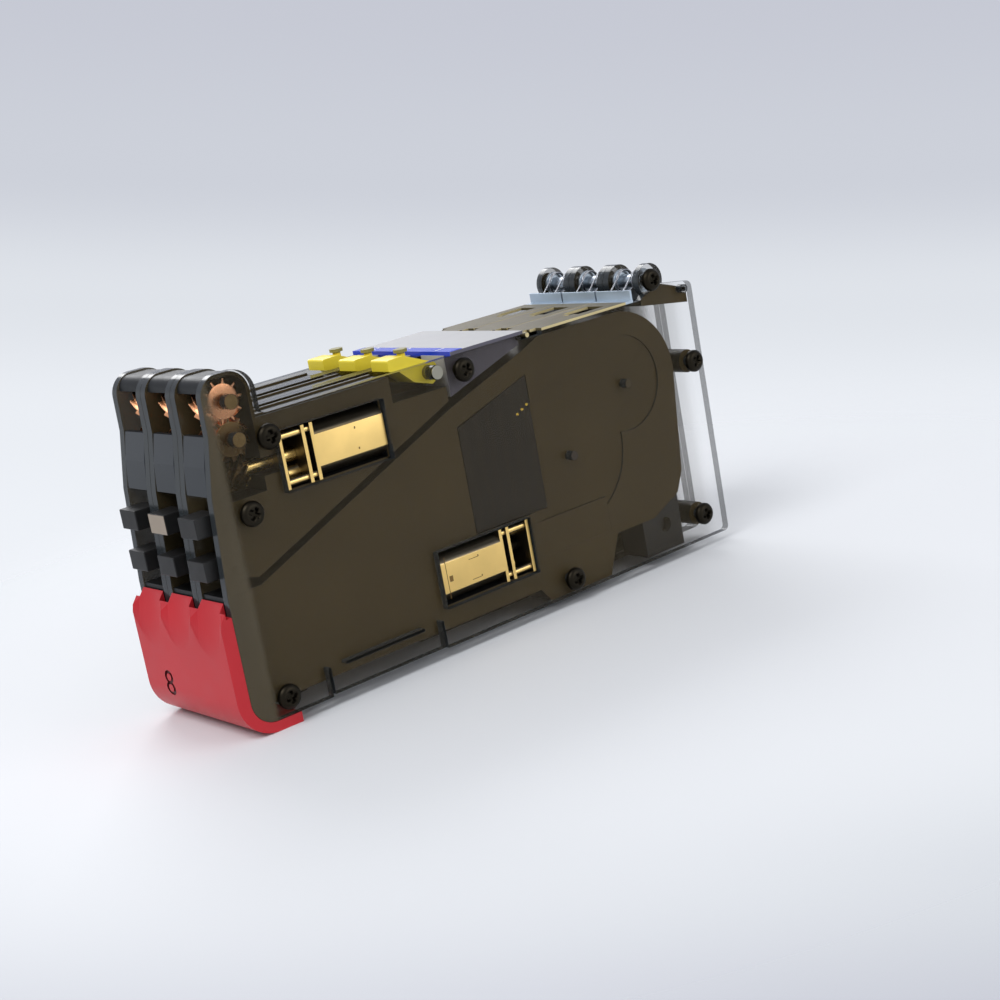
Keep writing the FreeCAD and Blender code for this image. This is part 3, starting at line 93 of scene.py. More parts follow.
def link_mesh(name, vertices, faces, smooth_angle=35.0):
    """An object at the origin with this mesh, smooth but for edges sharper than an angle."""
    mesh = bpy.data.meshes.new(name)
    mesh.from_pydata([tuple(spot) for spot in np.asarray(vertices, float)], [], faces)
    mesh.validate()
    mesh.update()
    return link_object(name, mesh, smooth_angle)


def link_object(name, mesh, smooth_angle=35.0):
    """An object at the origin for a finished mesh."""
    mesh.polygons.foreach_set("use_smooth", np.ones(len(mesh.polygons), bool))
    mesh.set_sharp_from_angle(angle=math.radians(smooth_angle))
    piece = bpy.data.objects.new(name, mesh)
    bpy.context.scene.collection.objects.link(piece)
    return piece


def grid_faces(rows, columns, wrap_rows=False, wrap_columns=False):
    """Quads between neighbours of a grid of rows by columns, closed round either way if asked."""
    row = np.arange(rows if wrap_rows else rows - 1)
    column = np.arange(columns if wrap_columns else columns - 1)
    r, c = np.meshgrid(row, column, indexing="ij")
    after_r = (r + 1) % rows
    after_c = (c + 1) % columns
    quads = np.stack(
        [r * columns + c, r * columns + after_c, after_r * columns + after_c, after_r * columns + c], axis=-1
    )
    return quads.reshape(-1, 4)


def shell_from(name, parts, smooth_angle=35.0):
    """A closed surface whose faces are turned outwards."""
    piece = link_mesh(name, *parts, smooth_angle)
    work = bmesh.new()
    work.from_mesh(piece.data)
    bmesh.ops.recalc_face_normals(work, faces=work.faces)
    work.to_mesh(piece.data)
    work.free()
    piece.data.set_sharp_from_angle(angle=math.radians(smooth_angle))
    return piece


def carried_along_y(outline, low, high):
    """A closed outline of places in XZ carried straight along Y, with flat ends."""
    count = len(outline)
    layers = [np.stack([outline[:, 0], np.full(count, y), outline[:, 1]], axis=-1) for y in (low, high)]
    faces = grid_faces(2, count, wrap_columns=True).tolist()
    faces.append(list(range(count)))
    faces.append([count + k for k in range(count)])
    return np.concatenate(layers), faces


def joined(parts):
    """One set of vertices and faces from several."""
    vertices = []
    faces = []
    count = 0
    for spots, corners in parts:
        vertices.append(np.asarray(spots, float).reshape(-1, 3))
        faces.extend([[int(k) + count for k in face] for face in corners])
        count += len(vertices[-1])
    return np.concatenate(vertices), faces


def wire_along(path, radius, sides=8):
    """A round wire along a path of points, with flat ends.

    Each point's ring is centre + radius * (cos v * side + sin v * upward), where side and upward
    are square to the path's direction and are carried along it with the least turning.
    """
    path = np.asarray(path, float)
    along = np.gradient(path, axis=0)
    along /= np.linalg.norm(along, axis=1)[:, None]
    side = np.cross(along[0], (0.0, 0.0, 1.0))
    if np.linalg.norm(side) < 1e-6:
        side = np.cross(along[0], (0.0, 1.0, 0.0))
    carried = []
    for way in along:
        side = side - way * np.dot(side, way)
        side /= np.linalg.norm(side)
        carried.append(side)
    sideways = np.array(carried)
    upward = np.cross(along, sideways)
    turn = np.linspace(0, 2 * np.pi, sides, endpoint=False)
    rings = (
        path[:, None]
        + radius * np.cos(turn)[None, :, None] * sideways[:, None]
        + radius * np.sin(turn)[None, :, None] * upward[:, None]
    )
    faces = grid_faces(len(path), sides, wrap_columns=True).tolist()
    faces.append(list(range(sides)))
    last = (len(path) - 1) * sides
    faces.append([last + k for k in reversed(range(sides))])
    return rings.reshape(-1, 3), faces


def softened(name, nodes, width, material, split=False):
    """A copy of each CAD node with its sharp edges rounded, which stands for the node."""
    for node in nodes:
        piece = link_object(f"{name}_{node}", merged_copy(node, f"{name}_{node}", split), SHARP_EDGE)
        round_edges(piece, width)
        piece.data.materials.append(material)
        stand_for(piece, node)


def merged_copy(node, name, split=False):
    """A copy of a CAD node's mesh with its corners welded and its flat faces made whole.

    With split, faces of more than four corners are cut into triangles again, which keeps a face
    that runs round a bore closed.
    """
    work = bmesh.new()
    work.from_mesh(frame["nodes"][node].data)
    bmesh.ops.remove_doubles(work, verts=work.verts, dist=WELD)
    flat = math.radians(FLAT_WITHIN)
    bmesh.ops.dissolve_limit(work, angle_limit=flat, verts=work.verts, edges=work.edges)
    if split:
        bmesh.ops.triangulate(work, faces=[face for face in work.faces if len(face.verts) > 4])
    mesh = bpy.data.meshes.new(name)
    work.to_mesh(mesh)
    work.free()
    return mesh


def round_edges(piece, width, segments=2):
    """Rounds a piece's sharp edges to a width."""
    rounding = piece.modifiers.new("rounded_edges", "BEVEL")
    rounding.width = width
    rounding.segments = segments
    rounding.limit_method = "ANGLE"
    rounding.angle_limit = math.radians(SHARP_EDGE)
    rounding.harden_normals = True


def stand_for(piece, node):
    """Hides a node and puts a piece on the node's body in its place."""
    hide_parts(node)
    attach(piece, body_with(node))


def carved(piece, cutters):
    """Takes the cutters' room out of a piece and removes them; cut faces get the cutter's finish."""
    for cutter in cutters:
        cut = piece.modifiers.new("carved", "BOOLEAN")
        cut.operation = "DIFFERENCE"
        cut.solver = "EXACT"
        cut.material_mode = "TRANSFER"
        cut.object = cutter
    settled(piece)
    kept_normals = piece.data.attributes.get("custom_normal")
    if kept_normals:
        piece.data.attributes.remove(kept_normals)
    piece.data.set_sharp_from_angle(angle=math.radians(SHARP_EDGE))
    shading = piece.modifiers.new("even_shading", "WEIGHTED_NORMAL")
    shading.keep_sharp = True
    for cutter in cutters:
        shape = cutter.data
        bpy.data.objects.remove(cutter)
        bpy.data.meshes.remove(shape)


def settled(piece):
    """Turns a piece's modifiers into its mesh."""
    bpy.context.view_layer.update()
    graph = bpy.context.evaluated_depsgraph_get()
    mesh = bpy.data.meshes.new_from_object(piece.evaluated_get(graph), depsgraph=graph)
    piece.modifiers.clear()
    piece.data = mesh


def seat_on(node, start, way):
    """Where a line from a point meets a node's surface, and the surface's direction there."""
    mesh = frame["nodes"][node].data
    corners = [vertex.co for vertex in mesh.vertices]
    shape = BVHTree.FromPolygons(corners, [tuple(face.vertices) for face in mesh.polygons])
    spot, normal, _, _ = shape.ray_cast(Vector(start), Vector(way).normalized())
    if spot is None:
        raise ValueError(f"no surface of {node} on that line")
    return np.array(spot), np.array(normal)


def figure(name, words, size, thickness, origin, across, upward):
    """A plain number as a solid whose middle lies on a surface.

    A flat glyph with its thickness is turned so that its width runs along across and its height
    along upward, and it is moved to origin.
    """
    curve = bpy.data.curves.new(name, "FONT")
    curve.body = words
    curve.size = size
    curve.extrude = thickness / 2
    curve.align_x = "CENTER"
    curve.align_y = "CENTER"
    curve.resolution_u = 6
    holder = bpy.data.objects.new(name, curve)
    bpy.context.scene.collection.objects.link(holder)
    bpy.context.view_layer.update()
    graph = bpy.context.evaluated_depsgraph_get()
    mesh = bpy.data.meshes.new_from_object(holder.evaluated_get(graph), depsgraph=graph)
    bpy.data.objects.remove(holder)
    across = Vector(across).normalized()
    upward = (Vector(upward) - across * across.dot(Vector(upward))).normalized()
    outward = across.cross(upward)
    turned = Matrix((across, upward, outward)).transposed().to_4x4()
    mesh.transform(Matrix.Translation(Vector(origin)) @ turned)
    work = bmesh.new()
    work.from_mesh(mesh)
    bmesh.ops.remove_doubles(work, verts=work.verts, dist=WELD / 10)
    bmesh.ops.recalc_face_normals(work, faces=work.faces)
    work.to_mesh(mesh)
    work.free()
    mesh.name = name
    return link_object(name, mesh, 30.0)


def rounded_block(centre, sizes, corner, steps=4):
    """A block with rounded upright corners: a rounded outline in XZ carried along Y.

    The outline at turn t is the corner's middle plus corner * (cos t, sin t), and the outline is
    repeated at the two ends, which are closed.
    """
    half = np.array(sizes, float) / 2
    corner = min(corner, half[0] * 0.98, half[2] * 0.98)
    quarter = np.linspace(0, np.pi / 2, steps)
    corners = []
    for number, (sx, sz) in enumerate([(1, 1), (-1, 1), (-1, -1), (1, -1)]):
        turn = quarter + number * np.pi / 2
        x = sx * (half[0] - corner) + corner * np.cos(turn)
        z = sz * (half[2] - corner) + corner * np.sin(turn)
        corners.append(np.stack([x, z], axis=-1))
    outline = np.concatenate(corners)
    count = len(outline)
    layers = [
        np.stack([outline[:, 0], np.full(count, y), outline[:, 1]], axis=-1) + np.array(centre)
        for y in (-half[1], half[1])
    ]
    faces = grid_faces(2, count, wrap_columns=True)[:, ::-1].tolist()
    faces.append(list(range(count)))
    faces.append([count + k for k in reversed(range(count))])
    return np.concatenate(layers), faces


def body_with(node):
    """The CAD body that carries a node."""
    for body, members in frame["record"]["behaviour"]["bodies"].items():
        if node in members:
            return body
    raise ValueError(f"no body carries {node}")


def dress(node, material):
    """Gives a CAD node its finish."""
    piece = frame["nodes"][node]
    piece.data.materials.clear()
    piece.data.materials.append(material)


def finish_piece(piece, body, material):
    """Puts a new piece on its body, with its finish."""
    piece.data.materials.clear()
    piece.data.materials.append(material)
    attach(piece, body)


# Finishes

FINE_GRAIN = 0.3 * MM
AXLE_ROUND = 1.55 * MM


class Finish:
    """A node material under construction, with short ways to add the usual nodes."""

    def __init__(self, name):
        self.material = bpy.data.materials.new(name)
        self.material.use_nodes = True
        self.tree = self.material.node_tree
        self.shader = self.tree.nodes["Principled BSDF"]
        self.place = self.tree.nodes.new("ShaderNodeTexCoord").outputs["Object"]

    def set(self, **sockets):
        """Constants on the shader's own sockets; words use underscores for spaces."""
        for words, value in sockets.items():
            self.shader.inputs[words.replace("_", " ")].default_value = value

    def node(self, kind, inputs=(), **settings):
        """A node with settings, whose inputs are wired or set by name."""
        made = self.tree.nodes.new(kind)
        for words, value in settings.items():
            setattr(made, words, value)
        for socket, value in dict(inputs).items():
            if isinstance(value, bpy.types.NodeSocket):
                self.tree.links.new(value, made.inputs[socket])
            else:
                made.inputs[socket].default_value = value
        return made

    def stretched(self, scale):
        """Object coordinates with a scale per axis."""
        return self.node("ShaderNodeMapping", {"Vector": self.place, "Scale": scale}).outputs["Vector"]

    def noise(self, size, detail=3.0, stretch=None):
        """Cloudy noise whose lumps are about a size in metres."""
        vector = self.place if stretch is None else self.stretched(stretch)
        inputs = {"Vector": vector, "Scale": 1.0 / size, "Detail": detail, "Roughness": 0.5}
        return self.node("ShaderNodeTexNoise", inputs).outputs["Fac"]

    def ramp(self, value, stops):
        """A value turned into a colour by stops of place and colour."""
        made = self.node("ShaderNodeValToRGB", {"Fac": value})
        elements = made.color_ramp.elements
        for index, (place, colour) in enumerate(stops):
            element = elements[index] if index < 2 else elements.new(place)
            element.position = place
            element.color = (*colour, 1.0)
        return made.outputs["Color"]

    def between(self, value, low, high):
        """A value from 0 to 1 mapped to a range."""
        inputs = {"Value": value, "To Min": low, "To Max": high}
        return self.node("ShaderNodeMapRange", inputs).outputs["Result"]

    def bump(self, height, depth):
        """A bump of a depth in metres."""
        inputs = {"Height": height, "Distance": depth, "Strength": 1.0}
        return self.node("ShaderNodeBump", inputs).outputs["Normal"]

    def mixed(self, share, first, second):
        """Two colours mixed by a share, each of them another node's output."""
        return self.node("ShaderNodeMix", {0: share, 6: first, 7: second}, data_type="RGBA").outputs[2]

    def wire(self, socket, value):
        """Links an output to one of the shader's sockets."""
        self.tree.links.new(value, self.shader.inputs[socket])

    def axis_share(self, axis):
        """How squarely a surface faces along an axis, from 0 to 1."""
        normal = self.node("ShaderNodeNewGeometry").outputs["Normal"]
        parts = self.node("ShaderNodeSeparateXYZ", {"Vector": normal})
        return self.node("ShaderNodeMath", {0: parts.outputs[axis]}, operation="ABSOLUTE").outputs[0]

    def place_part(self, axis):
        """The object coordinate along one axis."""
        return self.node("ShaderNodeSeparateXYZ", {"Vector": self.place}).outputs[axis]

    def facing(self, axis, low=0.75, high=0.95):
        """0 off an axis and 1 where a surface faces along it."""
        return self.past(self.axis_share(axis), low, high)

    def clouded(self, value, colour, shift):
        """A colour that drifts slowly with a value."""
        return self.ramp(value, [(0.3, colour), (0.75, [min(1.0, c * shift) for c in colour])])

    def past(self, value, start, end):
        """0 before a start and 1 after an end."""
        inputs = {"Value": value, "From Min": start, "From Max": end}
        return self.node("ShaderNodeMapRange", inputs).outputs["Result"]

    def from_axle(self, x, z):
        """Distance from an axle that runs along Y."""
        inputs = {"Vector": self.place, "Location": (-x, 0, -z), "Scale": (1, 0, 1)}
        moved = self.node("ShaderNodeMapping", inputs)
        return self.node("ShaderNodeVectorMath", {0: moved.outputs[0]}, operation="LENGTH").outputs["Value"]


def smoked_clear(name, colours, front, body, front_end):
    """Clear smoked plastic, densest at the operator's end and clear at the tail.

    The share of light that a broad face keeps back is front up to front_end, a share of the
    plate's length, then body, and it fades out before the tail. Cut edges are dark.
    """
    made = Finish(name)
    made.material.surface_render_method = "BLENDED"
    made.set(IOR=1.49, Specular_IOR_Level=0.35)
    broad = made.facing("Y", 0.86, 0.97)
    cloud = made.noise(0.02, 2.0)
    face_tint = made.clouded(cloud, colours[0], 1.25)
    edge_tint = made.clouded(cloud, colours[1], 1.3)
    made.wire("Base Color", made.mixed(broad, edge_tint, face_tint))
    share = made.past(made.place_part("X"), PLATE_LOW[0], PLATE_HIGH[0])
    stops = [(0.0, front), (front_end, front), (front_end + 0.008, body), (0.948, body), (0.972, 0.02)]
    held = made.ramp(share, [(place, (part, part, part)) for place, part in stops])
    edge = made.between(made.past(share, 0.985, 0.998), 0.95, 0.62)
    alpha = made.node("ShaderNodeMix", {0: broad, 2: edge, 3: held}).outputs[0]
    made.wire("Alpha", alpha)
    made.wire("Roughness", made.between(made.noise(0.006, 4.0), 0.12, 0.24))
    made.wire("Normal", made.bump(made.noise(0.03, 1.0), 0.00005))
    return made.material


def frame_plastic(side_colour, edge_shade_colour):
    """Moulded frame plastic: olive brown on its broad sides, painted blue-black shade on its edges, fine
    grain.
    """
    made = Finish("frame_plastic")
    made.set(Specular_IOR_Level=0.22)
    cloud = made.noise(0.018, 3.0)
    broad = made.clouded(cloud, side_colour, 1.22)
    narrow_shade = made.clouded(cloud, edge_shade_colour, 1.3)
    # edges take a painted blue-black shade
    made.wire("Base Color", made.mixed(made.facing("Y"), narrow_shade, broad))
    made.wire("Roughness", made.between(made.noise(0.004), 0.34, 0.5))
    made.wire("Normal", made.bump(made.noise(0.0012, 2.0), 0.000002))
    return made.material


def motor_brass(flat_colour, round_reflection_colour):
    """Rolled motor shell: warm brass on its flats, a painted grey reflection where it is rounded, drawn
    grain.
    """
    made = Finish("motor_brass")
    made.set(Metallic=1.0)
    streaks = made.noise(0.003, 4.0, stretch=(1.0, 30.0, 30.0))
    stain = made.noise(0.006, 3.0)
    flat = made.clouded(stain, flat_colour, 1.12)
    bent_reflection = made.clouded(stain, round_reflection_colour, 1.3)
    # rounded sides take a painted grey reflection
    made.wire("Base Color", made.mixed(made.facing("Y", 0.80, 0.95), bent_reflection, flat))
    made.wire("Roughness", made.between(streaks, 0.26, 0.42))
    made.wire("Normal", made.bump(streaks, 0.000006))
    return made.material


def toothed_copper(name, colours, face_colour, axle):
    """Cut copper teeth round a dark axle end, their side faces in a tone of their own, which on the lower
    gears is painted shade.
    """
    made = Finish(name)
    made.set(Metallic=1.0)
    reach = made.past(made.from_axle(*axle), AXLE_ROUND * 0.94, AXLE_ROUND * 1.02)
    marks = made.noise(0.0016, 4.0, stretch=(1.0, 12.0, 1.0))
    tarnish = made.noise(0.004, 3.0)
    flanks = made.clouded(tarnish, colours[0], 1.2)
    faces = made.clouded(tarnish, face_colour, 1.2)
    dark = made.clouded(made.noise(0.002, 3.0), colours[1], 1.3)
    # side faces: copper on the upper gears, painted shade on the lower gears
    made.wire("Base Color", made.mixed(reach, dark, made.mixed(made.facing("Y"), flanks, faces)))
    made.wire("Roughness", made.between(marks, 0.2, 0.36))
    made.wire("Normal", made.bump(marks, 0.000006))
    return made.material


def pinion_bronze(tooth_shade, shaft_colour, tooth_end):
    """Teeth in painted dark bronze shade on a bright brass shaft, with turning marks."""
    made = Finish("pinion_bronze")
    made.set(Metallic=1.0)
    marks = made.noise(0.0012, 4.0, stretch=(1.0, 8.0, 8.0))
    stain = made.noise(0.003, 3.0)
    shaft = made.past(made.place_part("X"), tooth_end, tooth_end + 0.2 * MM)
    tones = made.clouded(stain, tooth_shade, 1.3), made.clouded(stain, shaft_colour, 1.15)
    # teeth get painted shade, the shaft its brass
    made.wire("Base Color", made.mixed(shaft, *tones))
    made.wire("Roughness", made.between(marks, 0.2, 0.34))
    made.wire("Normal", made.bump(marks, 0.000004))
    return made.material


def panel_grey(top_colour, side_colour):
    """Cover panel: pale grey on top, painted deep violet-grey shade down its wedges, fine grain."""
    made = Finish("grey_panel")
    made.set(Specular_IOR_Level=0.3)
    cloud = made.noise(0.02, 3.0)
    top = made.clouded(cloud, top_colour, 1.05)
    side = made.clouded(cloud, side_colour, 1.15)
    # sides facing along Y get painted shade
    made.wire("Base Color", made.mixed(made.facing("Y"), top, side))
    made.wire("Roughness", made.between(made.noise(0.005), 0.38, 0.5))
    made.wire("Normal", made.bump(made.noise(FINE_GRAIN, 2.0), 0.00001))
    return made.material


def pick_metal(top_colour, side_colour, lip_steel_and_reflection):
    """Stamped pick plate: dull olive oxide on top, tan cut edge, bright steel lip with a painted bluish
    reflection, rolled grain.
    """
    made = Finish("pick_metal")
    made.set(Specular_IOR_Level=0.2)
    grain = made.noise(0.002, 4.0, stretch=(1.0, 14.0, 14.0))
    stain = made.noise(0.006, 3.0)
    top = made.clouded(stain, top_colour, 1.25)
    side = made.clouded(stain, side_colour, 1.12)
    lip = made.clouded(stain, lip_steel_and_reflection, 1.12)
    low_and_side = made.mixed(made.facing("Y", 0.6, 0.9), top, side)
    end = made.past(made.place_part("X"), PICK_END - 2.6 * MM, PICK_END - 2.3 * MM)
    # the rear lip is steel with a painted bluish reflection
    made.wire("Base Color", made.mixed(end, low_and_side, lip))
    made.wire("Metallic", made.between(end, 0.25, 0.85))
    made.wire("Roughness", made.between(grain, 0.3, 0.48))
    made.wire("Normal", made.bump(grain, 0.000008))
    return made.material


def lever_nylon(colour, peg_colour):
    """Yellow nylon with a fine grain, and an olive peg standing on it."""
    made = Finish("lever_nylon")
    made.set(Specular_IOR_Level=0.3)
    cloud = made.noise(0.006, 3.0)
    peg = made.past(made.place_part("Z"), LEVER_DECK, LEVER_DECK + 0.1 * MM)
    tones = made.clouded(cloud, colour, 1.06), made.clouded(cloud, peg_colour, 1.3)
    made.wire("Base Color", made.mixed(peg, *tones))
    made.wire("Roughness", made.between(made.noise(0.003), 0.3, 0.42))
    made.wire("Normal", made.bump(made.noise(FINE_GRAIN, 2.0), 0.000008))
    return made.material


def pale_capped(colour, cap_colour):
    """Black nylon whose pushed end is pale."""
    made = Finish("pale_capped_nylon")
    made.set(Specular_IOR_Level=0.25)
    cloud = made.noise(0.004, 3.0)
    tones = made.clouded(cloud, colour, 1.4), made.clouded(cloud, cap_colour, 1.1)
    made.wire("Base Color", made.mixed(made.facing("X"), *tones))
    made.wire("Roughness", made.between(made.noise(0.002), 0.35, 0.5))
    made.wire("Normal", made.bump(made.noise(FINE_GRAIN, 2.0), 0.000008))
    return made.material


def sheet_metal(name, colour, rough, grain=(1.0, 40.0, 40.0)):
    """Metal with slight stains and a brushed grain, which runs along X unless it is stretched evenly."""
    made = Finish(name)
    made.set(Metallic=1.0)
    streaks = made.noise(0.004, 4.0, stretch=grain)
    stain = made.noise(0.009, 3.0)
    light = [min(1.0, c * 1.12) for c in colour]
    dark = [c * 0.86 for c in colour]
    made.wire("Base Color", made.ramp(stain, [(0.3, dark), (0.7, light)]))
    made.wire("Roughness", made.between(streaks, *rough))
    made.wire("Normal", made.bump(streaks, 0.000008))
    return made.material


def moulded(name, colour, rough, depth=0.00001, shift=1.18, speck=0.012):
    """Moulded plastic with a fine grain, slow colour drift and uneven gloss."""
    made = Finish(name)
    made.set(Specular_IOR_Level=0.3)
    made.wire("Base Color", made.clouded(made.noise(speck, 3.0), colour, shift))
    made.wire("Roughness", made.between(made.noise(speck / 4), *rough))
    made.wire("Normal", made.bump(made.noise(FINE_GRAIN, 2.0), depth))
    return made.material


def circuit_lacquer(colour, trace):
    """Dark board lacquer with winding traces under it."""
    made = Finish("circuit_lacquer")
    made.set(Specular_IOR_Level=0.25)
    inputs = {"Vector": made.place, "Scale": 90.0, "Distortion": 6.0, "Detail": 2.0}
    waves = made.node("ShaderNodeTexWave", inputs).outputs["Fac"]
    made.wire("Base Color", made.ramp(waves, [(0.55, colour), (0.75, trace)]))
    made.wire("Roughness", made.between(made.noise(0.003), 0.25, 0.45))
    made.wire("Normal", made.bump(waves, 0.0000015))
    return made.material


class FeederColours(bpy.types.PropertyGroup):
    """Colours of the feeder's finishes."""

    def colour(words, default, description):
        return bpy.props.FloatVectorProperty(
            name=words, description=description, subtype="COLOR", size=3, min=0.0, max=1.0, default=default
        )

    smoke: colour("Smoked plates", (0.061, 0.047, 0.024), "Tint of the clear side plates")
    smoke_edge: colour("Plate edges", (0.024, 0.028, 0.031), "Cut edges of the side plates")
    frame_side: colour("Frame sides", (0.051, 0.034, 0.0105), "Broad sides of the frames")
    # painted shade for the frames' edges in the slots between the plates
    frame_edge: colour("Frame edges", (0.0075, 0.0085, 0.0095), "Narrow faces of the frames")
    chute: colour("Chutes", (0.020, 0.024, 0.030), "Polished film chutes")
    brass: colour("Brass", (0.80, 0.56, 0.20), "Motors and their shafts")
    # painted reflection on the motors' rounded sides
    brass_bent: colour("Shell reflection", (0.20, 0.17, 0.12), "Rounded sides of the motors")
    copper: colour("Copper", (0.68, 0.33, 0.17), "Film gears")
    # painted shade for the pinions' teeth and the lower gears' faces
    shade: colour("Shaded bronze", (0.085, 0.052, 0.022), "Pinions and the lower gears' faces")
    axle: colour("Axle ends", (0.11, 0.075, 0.035), "Axles in the film gears")
    steel: colour("Steel", (0.50, 0.56, 0.62), "Shafts and springs")
    pick_top: colour("Pick plate top", (0.090, 0.074, 0.036), "Top of the pick plates")
    pick_side: colour("Pick plate edge", (0.56, 0.47, 0.25), "Cut edge of the pick plates")
    # steel tone with a painted bluish reflection
    pick_lip: colour("Pick plate lip", (0.44, 0.52, 0.60), "Lip at the rear of the pick plates")
    yellow: colour("Levers", (0.82, 0.66, 0.045), "Film levers")
    peg: colour("Lever pegs", (0.20, 0.18, 0.055), "Pegs on the film levers")
    black: colour("Buttons", (0.010, 0.010, 0.010), "Buttons and contact blocks")
    cap: colour("Pale button", (0.30, 0.25, 0.20), "Pushed end of one button")
    red: colour("Foot", (0.46, 0.016, 0.024), "Foot of the operator's end")
    # painted shade in the foot's engraved number
    deep_red: colour("Engraving", (0.075, 0.004, 0.006), "Engraved number on the foot")
    grey: colour("Cover", (0.36, 0.36, 0.375), "Panel over the lanes")
    # painted shade on the panel's sides between the plates
    wedge: colour("Cover wedges", (0.085, 0.080, 0.105), "Sides of the panel between the plates")
    blue: colour("Strip", (0.014, 0.045, 0.52), "Numbered strip of the panel")
    screw: colour("Screws", (0.020, 0.017, 0.012), "Blackened screws")
    gold: colour("Board pads", (0.78, 0.52, 0.08), "Gilded pads of the boards")
    lacquer: colour("Boards", (0.008, 0.006, 0.0035), "Lacquer of the control boards")
    trace: colour("Board traces", (0.013, 0.010, 0.006), "Traces of the control boards")
    # Seams are dark joints; the window, dimples and press lines get painted shade
    seam: colour("Shell seams", (0.16, 0.09, 0.02), "Seams and dimples of the motors")
    spring: colour("Springs", (0.34, 0.35, 0.37), "Wire of the springs")
    pin: colour("Lever pin", (0.30, 0.29, 0.24), "Pin that the levers turn on")
    sprocket: colour("Sprockets", (0.070, 0.056, 0.036), "Oiled steel of the sprockets")
    wheel: colour("Drive wheels", (0.030, 0.021, 0.012), "Brown acetal of the drive wheels")
    print: colour("Lane numbers", (0.62, 0.64, 0.70), "Numbers on the strip")


class FeederSizes(bpy.types.PropertyGroup):
    """Sizes of the looks, in the scene's own units."""

    def length(words, default, description):
        return bpy.props.FloatProperty(
            name=words, description=description, default=default, min=0.0, unit="LENGTH", precision=5
        )

    plate_edge: length("Plate edge", 0.00022, "Rounding of the smoked plates' edges")
    frame_edge: length("Frame edge", 0.00020, "Rounding of the frames' edges")
    metal_edge: length("Metal edge", 0.00010, "Rounding of the metal pieces' edges")
    screw_head: length("Screw head", 0.0052, "Width of a screw's head")
    screw_rise: length("Screw rise", 0.0015, "Height of a screw's head")
    cross_wide: length("Cross width", 0.00085, "Width of a recess's arms")
    cross_long: length("Cross length", 0.0029, "Length of a recess's arms")
    cross_deep: length("Cross depth", 0.0008, "Depth of a recess")
    cross_slope: length("Cross slope", 0.00022, "Width of the slope at a recess's edge")
    wire: length("Spring wire", 0.00042, "Wire of the pick plates' springs")
    strip_long: length("Strip", 0.0034, "Length of the numbered strip along the feeder")
    strip_thick: length("Strip film", 0.00012, "Thickness of the numbered strip")
    figure_tall: length("Lane numbers", 0.0026, "Height of the numbers on the strip")
    foot_figure: length("Foot number", 0.0080, "Type size of the foot's engraved number")
    foot_edge: length("Foot edge", 0.00045, "Rounding of the foot's edges")
    engraving: length("Engraving", 0.0004, "Depth of the foot's engraved number")
    channel: length("Shaft channel", 0.0037, "Width of the channel for the upper motor's shaft")


PALETTE = {}
PALE_BUTTON = "lane2_upper_button"


def finish_for(name):
    """A finish of this feeder by its plain name, made once."""
    if name in PALETTE:
        return PALETTE[name]
    even = (9, 9, 9)

    def tone(part):
        return tuple(getattr(bpy.context.scene.feeder_colours, part))

    smoke = (tone("smoke"), tone("smoke_edge"))
    copper = (tone("copper"), tone("axle"))
    makers = {
        "smoke": lambda: smoked_clear("smoked_clear", smoke, 0.86, 0.15, 0.036),
        "deep_smoke": lambda: smoked_clear("deep_smoke", smoke, 0.86, 0.32, 0.115),
        "frame": lambda: frame_plastic(tone("frame_side"), tone("frame_edge")),
        "seam": lambda: moulded("shell_seam", tone("seam"), (0.4, 0.6), shift=1.3, speck=0.002),
        "motor": lambda: motor_brass(tone("brass"), tone("brass_bent")),
        "upper_copper": lambda: toothed_copper("upper_copper", copper, tone("copper"), UPPER_AXLE),
        "lower_copper": lambda: toothed_copper("lower_copper", copper, tone("shade"), LOWER_AXLE),
        "pinion": lambda: pinion_bronze(tone("shade"), tone("brass"), PINION_END),
        "spring": lambda: sheet_metal("spring_wire", tone("spring"), (0.16, 0.28), grain=even),
        "pin": lambda: sheet_metal("pin_steel", tone("pin"), (0.3, 0.44), grain=even),
        "dark_steel": lambda: sheet_metal("oiled_steel", tone("sprocket"), (0.3, 0.5), grain=even),
        "steel": lambda: sheet_metal("brushed_steel", tone("steel"), (0.2, 0.36)),
        "pick": lambda: pick_metal(tone("pick_top"), tone("pick_side"), tone("pick_lip")),
        "yellow": lambda: lever_nylon(tone("yellow"), tone("peg")),
        "black": lambda: moulded("black_nylon", tone("black"), (0.35, 0.55), shift=1.5),
        "capped": lambda: pale_capped(tone("black"), tone("cap")),
        "red": lambda: moulded("red_nylon", tone("red"), (0.32, 0.46), shift=1.1, speck=0.02),
        "deep_red": lambda: moulded("engraved_red", tone("deep_red"), (0.4, 0.55)),
        "grey": lambda: panel_grey(tone("grey"), tone("wedge")),
        "blue": lambda: moulded("blue_film", tone("blue"), (0.2, 0.3), shift=1.1),
        "screw": lambda: sheet_metal("blackened_steel", tone("screw"), (0.3, 0.5), grain=(6, 6, 6)),
        "white": lambda: moulded("white_print", tone("print"), (0.4, 0.5), shift=1.04),
        "gold": lambda: sheet_metal("gilt", tone("gold"), (0.2, 0.34), grain=even),
        "board": lambda: circuit_lacquer(tone("lacquer"), tone("trace")),
        "wheel": lambda: moulded("brown_acetal", tone("wheel"), (0.35, 0.5)),
        "chute": lambda: moulded("polished_chute", tone("chute"), (0.06, 0.13), depth=0.000002),
    }
    PALETTE[name] = makers[name]()
    return PALETTE[name]


# Pieces

